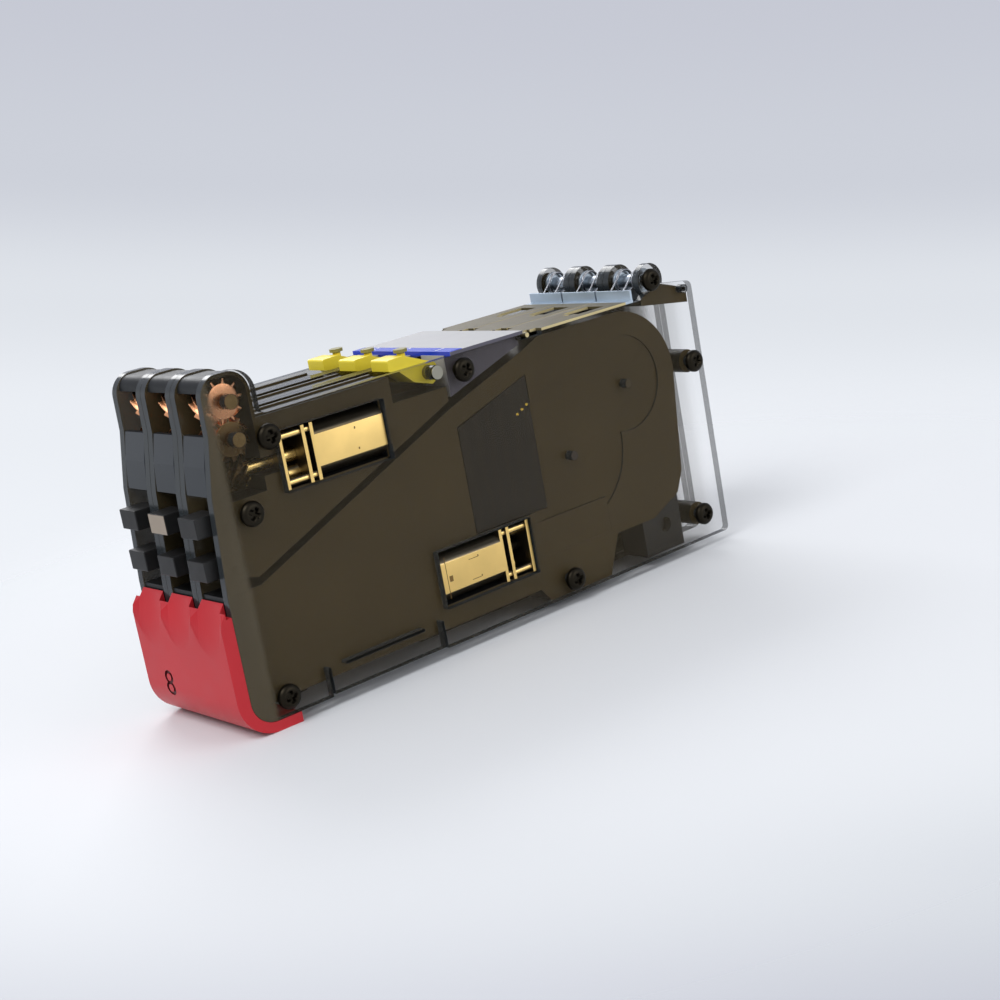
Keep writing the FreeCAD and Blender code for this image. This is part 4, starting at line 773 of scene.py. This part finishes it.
FIGURE_SHARE = 0.72
GEAR_FACE = 5.4 * MM
PINION_END = float(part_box("lane1_peel_pinion")[0].x) + 4.5 * MM
FOOT_FIGURE_PLACE = (8.4 * MM, 9.0 * MM)
PANEL_FRONT = float(COVER_LOW[0]) + 0.4 * MM
PANEL_SIDE_GAP = 0.05 * MM
STRIP_FOLD = 0.9 * MM
NUMBER_SHARE = 0.52

# The worm room's ends from the motor and the wheel, and its floor and roof from the worm's axis
ROOM_START = 1.62 * MM
ROOM_END = 8.88 * MM
ROOM_DROP = 4.08 * MM
ROOM_RISE = 3.98 * MM
SKIN_THICK = 0.28 * MM
SKIN_DEEP = 0.15 * MM

# The shaft channel's reach in front of the motor and past its front plate
CHANNEL_LONG = 5.2 * MM
CHANNEL_OVERLAP = 0.4 * MM
CHANNEL_CORNER = 0.5 * MM

# Marks on the motors' flats in millimetres: from the shell's end, over its middle, length, height
SHELL_MARKS = {
    "peel": ((7.4, 2.2, 0.32, 0.50), (7.2, -2.2, 0.32, 0.50)),
    "drive": (
        (1.5, 0.0, 0.16, 9.4),
        (2.5, -0.4, 0.95, 1.3),
        (9.2, 2.2, 2.6, 0.13),
        (9.4, -2.4, 2.6, 0.13),
        (10.6, 2.4, 0.32, 0.42),
        (10.8, -2.2, 0.32, 0.42),
    ),
}
MARK_THICK = 0.06 * MM
MARK_CORNER = 0.1 * MM

# A flange's profile: share of its radius, and millimetres past the gear's face
FLANGE_SHARE = 0.77
FLANGE_PROFILE = ((0.25, 0.02), (1.0, 0.02), (1.0, 0.20), (0.93, 0.27), (0.25, 0.27))

PAD_SIZE = (0.7 * MM, 0.08 * MM, 0.55 * MM)
PAD_CORNER = 0.2 * MM
PAD_BACK = 0.9 * MM
PAD_STEP = 1.5 * MM
PAD_DROP = 0.75 * MM
PAD_HEIGHT = 47.4 * MM


class FeederOperator:
    """What every operator of this file shares."""

    bl_options = {"REGISTER", "UNDO"}

    def execute(self, context):
        self.build(context.scene.feeder_sizes)
        return {"FINISHED"}


class FEEDER_OT_plates(FeederOperator, bpy.types.Operator):
    """Smoked side plates with rounded edges"""

    bl_idname = "feeder.plates"
    bl_label = "Side plates"

    def build(self, sizes):
        nodes = [f"lane{lane}_{side}_plate" for lane in LANES for side in ("near", "far")]
        softened("smoked", nodes[:1], sizes.plate_edge, finish_for("smoke"))
        softened("smoked", nodes[1:], sizes.plate_edge, finish_for("deep_smoke"))


class FEEDER_OT_frames(FeederOperator, bpy.types.Operator):
    """Moulded frames, ear blocks and spacer tubes between the plates"""

    bl_idname = "feeder.frames"
    bl_label = "Frames"

    def build(self, sizes):
        width = sizes.frame_edge
        for lane in LANES:
            node = f"lane{lane}_upper_frame"
            piece = link_object(f"moulded_{node}", merged_copy(node, f"moulded_{node}"), SHARP_EDGE)
            piece.data.materials.append(finish_for("frame"))
            carved(piece, [shaft_channel(lane, sizes)])
            round_edges(piece, width)
            stand_for(piece, node)
        lower = [f"lane{lane}_lower_frame" for lane in LANES]
        softened("moulded", lower + ["ear_blocks"], width, finish_for("frame"))
        dress("standoffs", finish_for("frame"))
        for lane in LANES:
            node = f"lane{lane}_lower_frame"
            skin = shell_from(f"worm_skin_{lane}", worm_skin(lane))
            finish_piece(skin, body_with(node), finish_for("frame"))
        softened("moulded", ["contact_blocks"], width, finish_for("black"))


def worm_skin(lane):
    """The thin wall that closes a lane's worm room on its near side, flush in the frame."""
    _, motor_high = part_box(f"lane{lane}_drive_motor")
    axis_z = float(middle(f"lane{lane}_drive_motor")[2])
    wheel_x = float(middle(f"lane{lane}_drive_wheel")[0])
    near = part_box(f"lane{lane}_lower_frame")[0].y
    front = motor_high.x + ROOM_START
    back = wheel_x + ROOM_END
    low = axis_z - ROOM_DROP
    high = axis_z + ROOM_RISE
    centre = ((front + back) / 2, near + SKIN_DEEP, (low + high) / 2)
    return rounded_block(centre, (back - front, SKIN_THICK, high - low), MARK_CORNER)


def shaft_channel(lane, sizes):
    """The room of the upper motor's shaft in its frame, open to the near side, as a cutter."""
    motor_low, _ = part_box(f"lane{lane}_peel_motor")
    axis_z = float(middle(f"lane{lane}_peel_motor")[2])
    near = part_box(f"lane{lane}_upper_frame")[0].y - CHANNEL_CORNER
    far = lane_middle(lane) + sizes.channel / 2
    front = motor_low.x - CHANNEL_LONG
    back = motor_low.x + CHANNEL_OVERLAP
    centre = ((front + back) / 2, (near + far) / 2, axis_z)
    lengths = (back - front, far - near, sizes.channel)
    channel = shell_from(f"channel_{lane}", rounded_block(centre, lengths, CHANNEL_CORNER))
    channel.data.materials.append(finish_for("frame"))
    return channel


class FEEDER_OT_motors(FeederOperator, bpy.types.Operator):
    """Geared motors in rolled brass, with the seams of their shells and painted shade in their dimples"""

    bl_idname = "feeder.motors"
    bl_label = "Motors"

    def build(self, sizes):
        nodes = [f"lane{lane}_{use}_motor" for lane in LANES for use in ("peel", "drive")]
        softened("drawn", nodes, sizes.metal_edge, finish_for("motor"))
        marks = [mark for lane in LANES for mark in shell_marks(lane)]
        piece = shell_from("shell_marks", joined(marks))
        # painted shade for dimples and press lines, and dark seams
        finish_piece(piece, body_with(nodes[0]), finish_for("seam"))


def shell_marks(lane):
    """Seam, window, dimples and press lines on the flats of a lane's two motors; seams are dark joints, the
    window, dimples and press lines painted shade.
    """
    marks = []
    for use, toward in (("peel", 1), ("drive", -1)):
        low, high = (np.array(corner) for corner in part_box(f"lane{lane}_{use}_motor"))
        end = high[0] if toward > 0 else low[0]
        centre_z = (low[2] + high[2]) / 2
        for back, rise, long, tall in SHELL_MARKS[use]:
            for y in (low[1], high[1]):
                spot = (end - toward * back * MM, y, centre_z + rise * MM)
                marks.append(rounded_block(spot, (long * MM, MARK_THICK, tall * MM), MARK_CORNER))
    return marks


class FEEDER_OT_gears(FeederOperator, bpy.types.Operator):
    """Film gears, pinions, worms, wheels and sprockets"""

    bl_idname = "feeder.gears"
    bl_label = "Gears"

    def build(self, sizes):
        for lane in LANES:
            pair = [(f"lane{lane}_{level}_peel_gear", f"{level}_copper") for level in ("upper", "lower")]
            for gear, copper in pair:
                softened("cut", [gear], 0.5 * sizes.metal_edge, finish_for(copper))
            for gear, copper in pair:
                flanges = link_mesh(f"{gear}_flanges", *gear_flanges(gear), smooth_angle=40)
                finish_piece(flanges, body_with(gear), finish_for(copper))
            dress(f"lane{lane}_peel_pinion", finish_for("pinion"))
            # the worm takes the dark blackened finish as painted shade in its room
            dress(f"lane{lane}_drive_worm", finish_for("screw"))
            dress(f"lane{lane}_drive_wheel", finish_for("wheel"))
            dress(f"lane{lane}_sprocket", finish_for("dark_steel"))


def gear_flanges(gear):
    """Thin discs on both sides of a film gear, which keep the film off its tooth roots.

    Each disc is a profile of (radius, level) pairs turned round the gear's axle.
    """
    low, high = (np.array(corner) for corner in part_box(gear))
    axle = (low + high) / 2
    outer = FLANGE_SHARE * (high[0] - low[0]) / 2
    turn = np.linspace(0, 2 * np.pi, 40, endpoint=False)
    discs = []
    for side in (-1, 1):
        face = axle[1] + side * GEAR_FACE / 2
        profile = np.array([(share * outer, face + side * out * MM) for share, out in FLANGE_PROFILE])
        radius, level = profile[:, 0, None], profile[:, 1, None]
        spots = np.stack(
            [axle[0] + radius * np.cos(turn), level + 0 * turn, axle[2] + radius * np.sin(turn)], axis=-1
        )
        faces = grid_faces(len(profile), len(turn), wrap_rows=True, wrap_columns=True)
        discs.append((spots, (faces if side < 0 else faces[:, ::-1]).tolist()))
    return joined(discs)


class FEEDER_OT_small_parts(FeederOperator, bpy.types.Operator):
    """Levers, buttons, pick plates, shafts, boards and chutes"""

    bl_idname = "feeder.small_parts"
    bl_label = "Small parts"

    def build(self, sizes):
        levers = [f"lane{lane}_film_lever" for lane in LANES]
        softened("moulded", levers, 0.8 * sizes.frame_edge, finish_for("yellow"), split=True)
        buttons = [f"lane{lane}_{name}_button" for lane in LANES for name in ("upper", "lower")]
        buttons.remove(PALE_BUTTON)
        softened("moulded", buttons, 1.2 * sizes.frame_edge, finish_for("black"))
        softened("moulded", [PALE_BUTTON], 1.2 * sizes.frame_edge, finish_for("capped"))
        picks = [f"lane{lane}_pick_plate" for lane in LANES]
        softened("stamped", picks, sizes.metal_edge, finish_for("pick"))
        softened("turned", ["spring_shaft"], sizes.metal_edge, finish_for("steel"))
        softened("turned", ["lever_pin"], sizes.metal_edge, finish_for("pin"))
        softened("etched", ["control_boards"], sizes.metal_edge, finish_for("board"))
        softened("polished", ["film_chutes"], sizes.metal_edge, finish_for("chute"))
        pads = shell_from("board_pads", joined(board_pads()))
        finish_piece(pads, body_with("control_boards"), finish_for("gold"))


def board_pads():
    """Three small gilt pads in a slanting row at the rear edge of each board."""
    pads = []
    _, board_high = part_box("control_boards")
    for spots in islands("control_boards"):
        near = spots[:, 1].min()
        for step in range(3):
            spot = (board_high.x - PAD_BACK - PAD_STEP * step, near, PAD_HEIGHT - PAD_DROP * step)
            pads.append(rounded_block(spot, PAD_SIZE, PAD_CORNER))
    return pads


class FEEDER_OT_foot(FeederOperator, bpy.types.Operator):
    """Red foot with an engraved plain number"""

    bl_idname = "feeder.foot"
    bl_label = "Foot"

    def build(self, sizes):
        node = "red_foot"
        piece = link_object("moulded_foot", merged_copy(node, "moulded_foot"), SHARP_EDGE)
        piece.data.materials.append(finish_for("red"))
        round_edges(piece, sizes.foot_edge, segments=3)
        spot, normal = seat_on(node, (-0.2, FOOT_FIGURE_PLACE[0], FOOT_FIGURE_PLACE[1]), (1, 0, 0))
        across = (0.0, -1.0, 0.0)
        upward = np.cross(normal, across)
        number = figure("foot_number", "8", sizes.foot_figure, 2 * sizes.engraving, spot, across, upward)
        # the number's cut faces take a painted shade
        number.data.materials.append(finish_for("deep_red"))
        carved(piece, [number])
        stand_for(piece, node)


class FEEDER_OT_cover(FeederOperator, bpy.types.Operator):
    """Grey panel with its blue strip and lane numbers"""

    bl_idname = "feeder.cover"
    bl_label = "Cover"

    def build(self, sizes):
        node = "top_cover"
        softened("moulded", [node], 0.5 * sizes.frame_edge, finish_for("grey"))
        top, _ = seat_on(node, (COVER_LOW[0] + 2 * MM, 0.0, 0.1), (0, 0, -1))
        level = float(top[2])
        front = PANEL_FRONT
        thick = sizes.strip_thick
        outline = np.array(
            [
                (front - thick, level - STRIP_FOLD),
                (front, level - STRIP_FOLD),
                (front, level),
                (front + sizes.strip_long, level),
                (front + sizes.strip_long, level + thick),
                (front - thick, level + thick),
            ]
        )
        half = COVER_HIGH[1] - PANEL_SIDE_GAP
        strip = shell_from("numbered_strip", carried_along_y(outline, -half, half))
        finish_piece(strip, body_with(node), finish_for("blue"))
        size = sizes.figure_tall / FIGURE_SHARE
        for lane in LANES:
            spot = (front + NUMBER_SHARE * sizes.strip_long, lane_middle(lane), level + thick)
            number = figure(f"lane_number_{lane}", str(lane), size, 0.5 * thick, spot, (0, -1, 0), (1, 0, 0))
            finish_piece(number, body_with(node), finish_for("white"))


# The screw heads' form
HEAD_RINGS = 22
HEAD_SPOKES = 48
RING_CROWDING = 0.8
DOME_POWER = 6
DOME_DROP = 0.55
SHANK_RADIUS = 1.25 * MM
SHANK_CLEAR = 0.3 * MM
FIRST_TURN = 8
TURN_STEP = 23
SHAFT_END_TURN = 0.3


def cross_head(across, along, sizes):
    """Depth below a screw head's top of its cross-shaped recess, at places on the head.

    Each arm is a soft-edged bar: depth * clip((half width - |across|) / slope + 1 / 2) * clip((half
    length - |along|) / (2 * slope)), and the recess is the deeper of the two arms at each place.
    """
    half_wide = sizes.cross_wide / 2
    half_long = sizes.cross_long / 2

    def arm(u, v):
        wide = np.clip((half_wide - np.abs(u)) / sizes.cross_slope + 0.5, 0, 1)
        long = np.clip((half_long - np.abs(v)) / (2 * sizes.cross_slope), 0, 1)
        return wide * long

    return sizes.cross_deep * np.maximum(arm(across, along), arm(along, across))


def pan_head(x, y_seat, z, side, turn, sizes):
    """A pan-head screw's head standing out along Y from a plate.

    Height over the seat at radius r is rise * (1 - DOME_DROP * (r / R) ** DOME_POWER) less the
    recess, and the skirt drops straight to the seat.
    """
    outer = sizes.screw_head / 2
    radius = outer * np.linspace(0, 1, HEAD_RINGS) ** RING_CROWDING
    angle = np.linspace(0, 2 * np.pi, HEAD_SPOKES, endpoint=False)
    r, a = np.meshgrid(radius, angle, indexing="ij")
    across = r * np.cos(a)
    along = r * np.sin(a)
    dome = sizes.screw_rise * (1 - DOME_DROP * (r / outer) ** DOME_POWER)
    height = dome - cross_head(across, along, sizes)
    skirt = np.zeros((1, HEAD_SPOKES))
    across = np.vstack([across, across[-1:]])
    along = np.vstack([along, along[-1:]])
    height = np.vstack([height, skirt])
    c, s = math.cos(turn), math.sin(turn)
    px = x + c * across - s * along
    pz = z + s * across + c * along
    py = y_seat + side * height
    spots = np.stack([px, py, pz], axis=-1).reshape(-1, 3)
    faces = grid_faces(HEAD_RINGS + 1, HEAD_SPOKES, wrap_columns=True)
    if side < 0:
        faces = faces[:, ::-1]
    faces = faces.tolist()
    last = [HEAD_RINGS * HEAD_SPOKES + k for k in range(HEAD_SPOKES)]
    faces.append(last if side > 0 else last[::-1])
    return spots, faces


def islands(node):
    """The separate solids of a node, as arrays of their corners."""
    work = bmesh.new()
    work.from_mesh(frame["nodes"][node].data)
    bmesh.ops.remove_doubles(work, verts=work.verts, dist=WELD)
    found = []
    seen = set()
    for start in work.verts:
        if start.index in seen:
            continue
        seen.add(start.index)
        queue = [start]
        group = []
        while queue:
            vertex = queue.pop()
            group.append(tuple(vertex.co))
            for edge in vertex.link_edges:
                other = edge.other_vert(vertex)
                if other.index not in seen:
                    seen.add(other.index)
                    queue.append(other)
        found.append(np.array(group))
    work.free()
    return found


class FEEDER_OT_screws(FeederOperator, bpy.types.Operator):
    """Pan-head screws with cross recesses on both outer plates"""

    bl_idname = "feeder.screws"
    bl_label = "Screws"

    def build(self, sizes):
        parts = []
        for number, spots in enumerate(islands("side_screws")):
            low, high = spots.min(0), spots.max(0)
            side = -1 if abs(low[1]) > abs(high[1]) else 1
            centre = (low + high) / 2
            turn = math.radians(FIRST_TURN + TURN_STEP * number)
            parts.append(pan_head(centre[0], side * STACK, centre[2], side, turn, sizes))
            shank = [(centre[0], y, centre[2]) for y in (side * STACK, side * SHANK_CLEAR)]
            parts.append(wire_along(shank, SHANK_RADIUS, sides=20))
        piece = link_mesh("pan_head_screws", *joined(parts), smooth_angle=40)
        finish_piece(piece, "chassis", finish_for("screw"))
        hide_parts("side_screws")


# The springs' form
COIL_TURNS = 1.7
STEPS_PER_TURN = 24
COIL_RADIUS = 2.62 * MM
COIL_START = math.radians(150)
COIL_OUT = 2.5 * MM
COIL_PITCH = 1.04
LEG_STEPS = 12
LEG_FOOT_DROP = 1.1 * MM


def torsion_spring(lane, side, sizes):
    """A close coil on the shaft whose leg reaches down to the pick plate's lip.

    The coil is centre + R * (cos t, sin t) while the wire moves a little over its own thickness
    along Y per turn, and a straight leg runs from the coil's start to the lip.
    """
    turned = np.linspace(0, COIL_TURNS, int(COIL_TURNS * STEPS_PER_TURN))
    angle = COIL_START - 2 * np.pi * turned
    middle_y = lane_middle(lane) + side * COIL_OUT
    y = middle_y + side * COIL_PITCH * sizes.wire * (turned - COIL_TURNS / 2)
    x = SHAFT[0] + COIL_RADIUS * np.cos(angle)
    z = SHAFT[2] + COIL_RADIUS * np.sin(angle)
    coil = np.stack([x, y, z], axis=-1)
    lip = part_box(f"lane{lane}_pick_plate")[1]
    foot = np.array([lip.x + 0.5 * sizes.wire, y[0], lip.z - LEG_FOOT_DROP])
    leg = foot + (coil[0] - foot) * np.linspace(0, 1, LEG_STEPS)[:, None]
    return wire_along(np.vstack([leg[:-1], coil]), sizes.wire / 2, sides=10)


class FEEDER_OT_springs(FeederOperator, bpy.types.Operator):
    """Wire springs that press the pick plates down, and the shaft's dark end screws"""

    bl_idname = "feeder.springs"
    bl_label = "Springs"

    def build(self, sizes):
        parts = [torsion_spring(lane, side, sizes) for lane in LANES for side in (-1, 1)]
        piece = link_mesh("torsion_springs", *joined(parts), smooth_angle=60)
        finish_piece(piece, "chassis", finish_for("spring"))
        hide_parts("plate_springs")
        x, _, z = SHAFT
        heads = [pan_head(x, side * STACK, z, side, SHAFT_END_TURN, sizes) for side in (-1, 1)]
        ends = link_mesh("shaft_end_screws", *joined(heads), smooth_angle=40)
        finish_piece(ends, "chassis", finish_for("screw"))


# Stage

CAMERA_PLACE = Vector((-0.23648, -0.32696, 0.12096))
CAMERA_RIGHT = Vector((0.7523, -0.6349, -0.1757))
CAMERA_UP = Vector((0.2801, 0.0669, 0.9576))
LENS = 66.1
FILM_WIDE = 36.0
FLOOR_RADIUS = 1.4
FLOOR_RINGS = 15
FLOOR_SPOKES = 64
FLOOR_FADE = (0.09, 0.24)
WORLD_LIGHT = 0.52
BACKDROP_REACH = 0.27
BACKDROP_BANDS = (
    (0.0, (0.565, 0.584, 0.658)),
    (1.0, (0.565, 0.584, 0.658)),
    (0.14, (0.64, 0.67, 0.72)),
    (0.30, (0.79, 0.82, 0.86)),
    (0.46, (0.86, 0.89, 0.94)),
    (0.58, (0.83, 0.86, 0.91)),
    (0.70, (0.74, 0.77, 0.82)),
    (0.82, (0.61, 0.635, 0.70)),
)


def floor_finish():
    """Pale floor that fades into the backdrop a little way from the feeder, so no horizon shows."""
    made = Finish("pale_floor")
    made.set(Roughness=0.6, Specular_IOR_Level=0.15)
    reach = made.node("ShaderNodeVectorMath", {0: made.place}, operation="LENGTH").outputs["Value"]
    near, far = FLOOR_FADE
    inputs = {"Value": reach, "From Min": near, "From Max": far, "To Min": 1.0, "To Max": 0.0}
    fade = made.node("ShaderNodeMapRange", inputs, interpolation_type="SMOOTHSTEP").outputs["Result"]
    made.wire("Alpha", fade)
    cloud = made.noise(0.4, 2.0)
    made.wire("Base Color", made.ramp(cloud, [(0.2, (0.70, 0.715, 0.745)), (0.8, (0.72, 0.735, 0.765))]))
    return made.material


def paint_world(scene):
    """Even studio light, and for camera, gloss and glass a backdrop of soft bands across the view.

    The band's place is the direction's share along the camera's upward direction.
    """
    world = bpy.data.worlds.new("studio")
    scene.world = world
    world.use_nodes = True
    tree = world.node_tree
    light = tree.nodes["Background"]
    light.inputs["Color"].default_value = (0.94, 0.96, 1.0, 1.0)
    light.inputs["Strength"].default_value = WORLD_LIGHT
    seen = tree.nodes.new("ShaderNodeBackground")
    way = tree.nodes.new("ShaderNodeTexCoord")
    share = tree.nodes.new("ShaderNodeVectorMath")
    share.operation = "DOT_PRODUCT"
    share.inputs[1].default_value = CAMERA_UP
    place = tree.nodes.new("ShaderNodeMapRange")
    place.inputs["From Min"].default_value = -BACKDROP_REACH
    place.inputs["From Max"].default_value = BACKDROP_REACH
    ramp = tree.nodes.new("ShaderNodeValToRGB")
    ramp.color_ramp.interpolation = "EASE"
    tree.links.new(way.outputs["Generated"], share.inputs[0])
    tree.links.new(share.outputs["Value"], place.inputs["Value"])
    tree.links.new(place.outputs["Result"], ramp.inputs["Fac"])
    stops = ramp.color_ramp.elements
    for index, (spot, colour) in enumerate(BACKDROP_BANDS):
        stop = stops[index] if index < 2 else stops.new(spot)
        stop.position = spot
        stop.color = (*colour, 1.0)
    tree.links.new(ramp.outputs["Color"], seen.inputs["Color"])
    path = tree.nodes.new("ShaderNodeLightPath")
    rays = ("Is Camera Ray", "Is Glossy Ray", "Is Transmission Ray")
    either = path.outputs[rays[0]]
    for ray in rays[1:]:
        more = tree.nodes.new("ShaderNodeMath")
        more.operation = "MAXIMUM"
        tree.links.new(either, more.inputs[0])
        tree.links.new(path.outputs[ray], more.inputs[1])
        either = more.outputs[0]
    mix = tree.nodes.new("ShaderNodeMixShader")
    tree.links.new(either, mix.inputs["Fac"])
    tree.links.new(light.outputs[0], mix.inputs[1])
    tree.links.new(seen.outputs[0], mix.inputs[2])
    tree.links.new(mix.outputs[0], tree.nodes["World Output"].inputs["Surface"])


def softbox(name, place, target, wide, tall, power):
    """A rectangular lamp aimed at a point."""
    lamp = bpy.data.lights.new(name, "AREA")
    lamp.shape = "RECTANGLE"
    lamp.size = wide
    lamp.size_y = tall
    lamp.energy = power
    holder = bpy.data.objects.new(name, lamp)
    holder.location = place
    aim = Vector(target) - Vector(place)
    holder.rotation_euler = aim.to_track_quat("-Z", "Y").to_euler()
    bpy.context.scene.collection.objects.link(holder)


def set_camera(scene):
    """The camera, rolled so that the feeder stands at the tilt that it has in the picture."""
    camera = bpy.data.cameras.new("camera")
    camera.sensor_width = FILM_WIDE
    camera.lens = LENS
    camera.clip_start = 0.01
    camera.clip_end = 20.0
    holder = bpy.data.objects.new("camera", camera)
    scene.collection.objects.link(holder)
    back = CAMERA_RIGHT.cross(CAMERA_UP).normalized()
    up = back.cross(CAMERA_RIGHT).normalized()
    right = up.cross(back).normalized()
    columns = Matrix((right, up, back)).transposed()
    holder.matrix_world = Matrix.Translation(CAMERA_PLACE) @ columns.to_4x4()
    scene.camera = holder


def lay_floor():
    """A round floor: each spot is radius * (cos angle, sin angle, 0)."""
    radius = np.linspace(0.0, FLOOR_RADIUS, FLOOR_RINGS)
    angle = np.linspace(0, 2 * np.pi, FLOOR_SPOKES, endpoint=False)
    r, a = np.meshgrid(radius, angle, indexing="ij")
    spots = np.stack([r * np.cos(a), r * np.sin(a), np.zeros_like(r)], axis=-1).reshape(-1, 3)
    floor = link_mesh("floor", spots, grid_faces(FLOOR_RINGS, FLOOR_SPOKES, wrap_columns=True).tolist())
    floor.data.materials.append(floor_finish())


class FEEDER_OT_stage(FeederOperator, bpy.types.Operator):
    """Camera, floor, world and lamps"""

    bl_idname = "feeder.stage"
    bl_label = "Stage"

    def build(self, sizes):
        scene = bpy.context.scene
        scene.view_settings.view_transform = "Standard"
        set_camera(scene)
        lay_floor()
        paint_world(scene)
        softbox("key", (-0.55, -0.15, 0.75), (0, 0, 0.03), 0.5, 0.5, 5.0)
        softbox("fill", (0.35, -0.75, 0.35), (0, 0, 0.03), 0.6, 0.5, 2.2)
        softbox("rim", (0.25, 0.65, 0.55), (0, 0, 0.04), 0.5, 0.4, 3.6)


class FEEDER_PT_panel(bpy.types.Panel):
    """Panel that lists the feeder's pieces"""

    bl_label = "Tape Feeder"
    bl_idname = "FEEDER_PT_panel"
    bl_space_type = "VIEW_3D"
    bl_region_type = "UI"
    bl_category = "Feeder"

    def draw(self, context):
        for operator in OPERATORS:
            self.layout.operator(operator.bl_idname)
        for group in (context.scene.feeder_sizes, context.scene.feeder_colours):
            for name in group.__annotations__:
                self.layout.prop(group, name)


OPERATORS = (
    FEEDER_OT_stage,
    FEEDER_OT_plates,
    FEEDER_OT_frames,
    FEEDER_OT_motors,
    FEEDER_OT_gears,
    FEEDER_OT_small_parts,
    FEEDER_OT_foot,
    FEEDER_OT_cover,
    FEEDER_OT_screws,
    FEEDER_OT_springs,
)
CLASSES = (FeederColours, FeederSizes, *OPERATORS, FEEDER_PT_panel)


def register():
    for cls in CLASSES:
        bpy.utils.register_class(cls)
    bpy.types.Scene.feeder_colours = bpy.props.PointerProperty(type=FeederColours)
    bpy.types.Scene.feeder_sizes = bpy.props.PointerProperty(type=FeederSizes)


def unregister():
    del bpy.types.Scene.feeder_sizes
    del bpy.types.Scene.feeder_colours
    for cls in reversed(CLASSES):
        bpy.utils.unregister_class(cls)


def main():
    register()
    for operator in OPERATORS:
        group, name = operator.bl_idname.split(".")
        getattr(getattr(bpy.ops, group), name)()


if __name__ == "__main__":
    main()
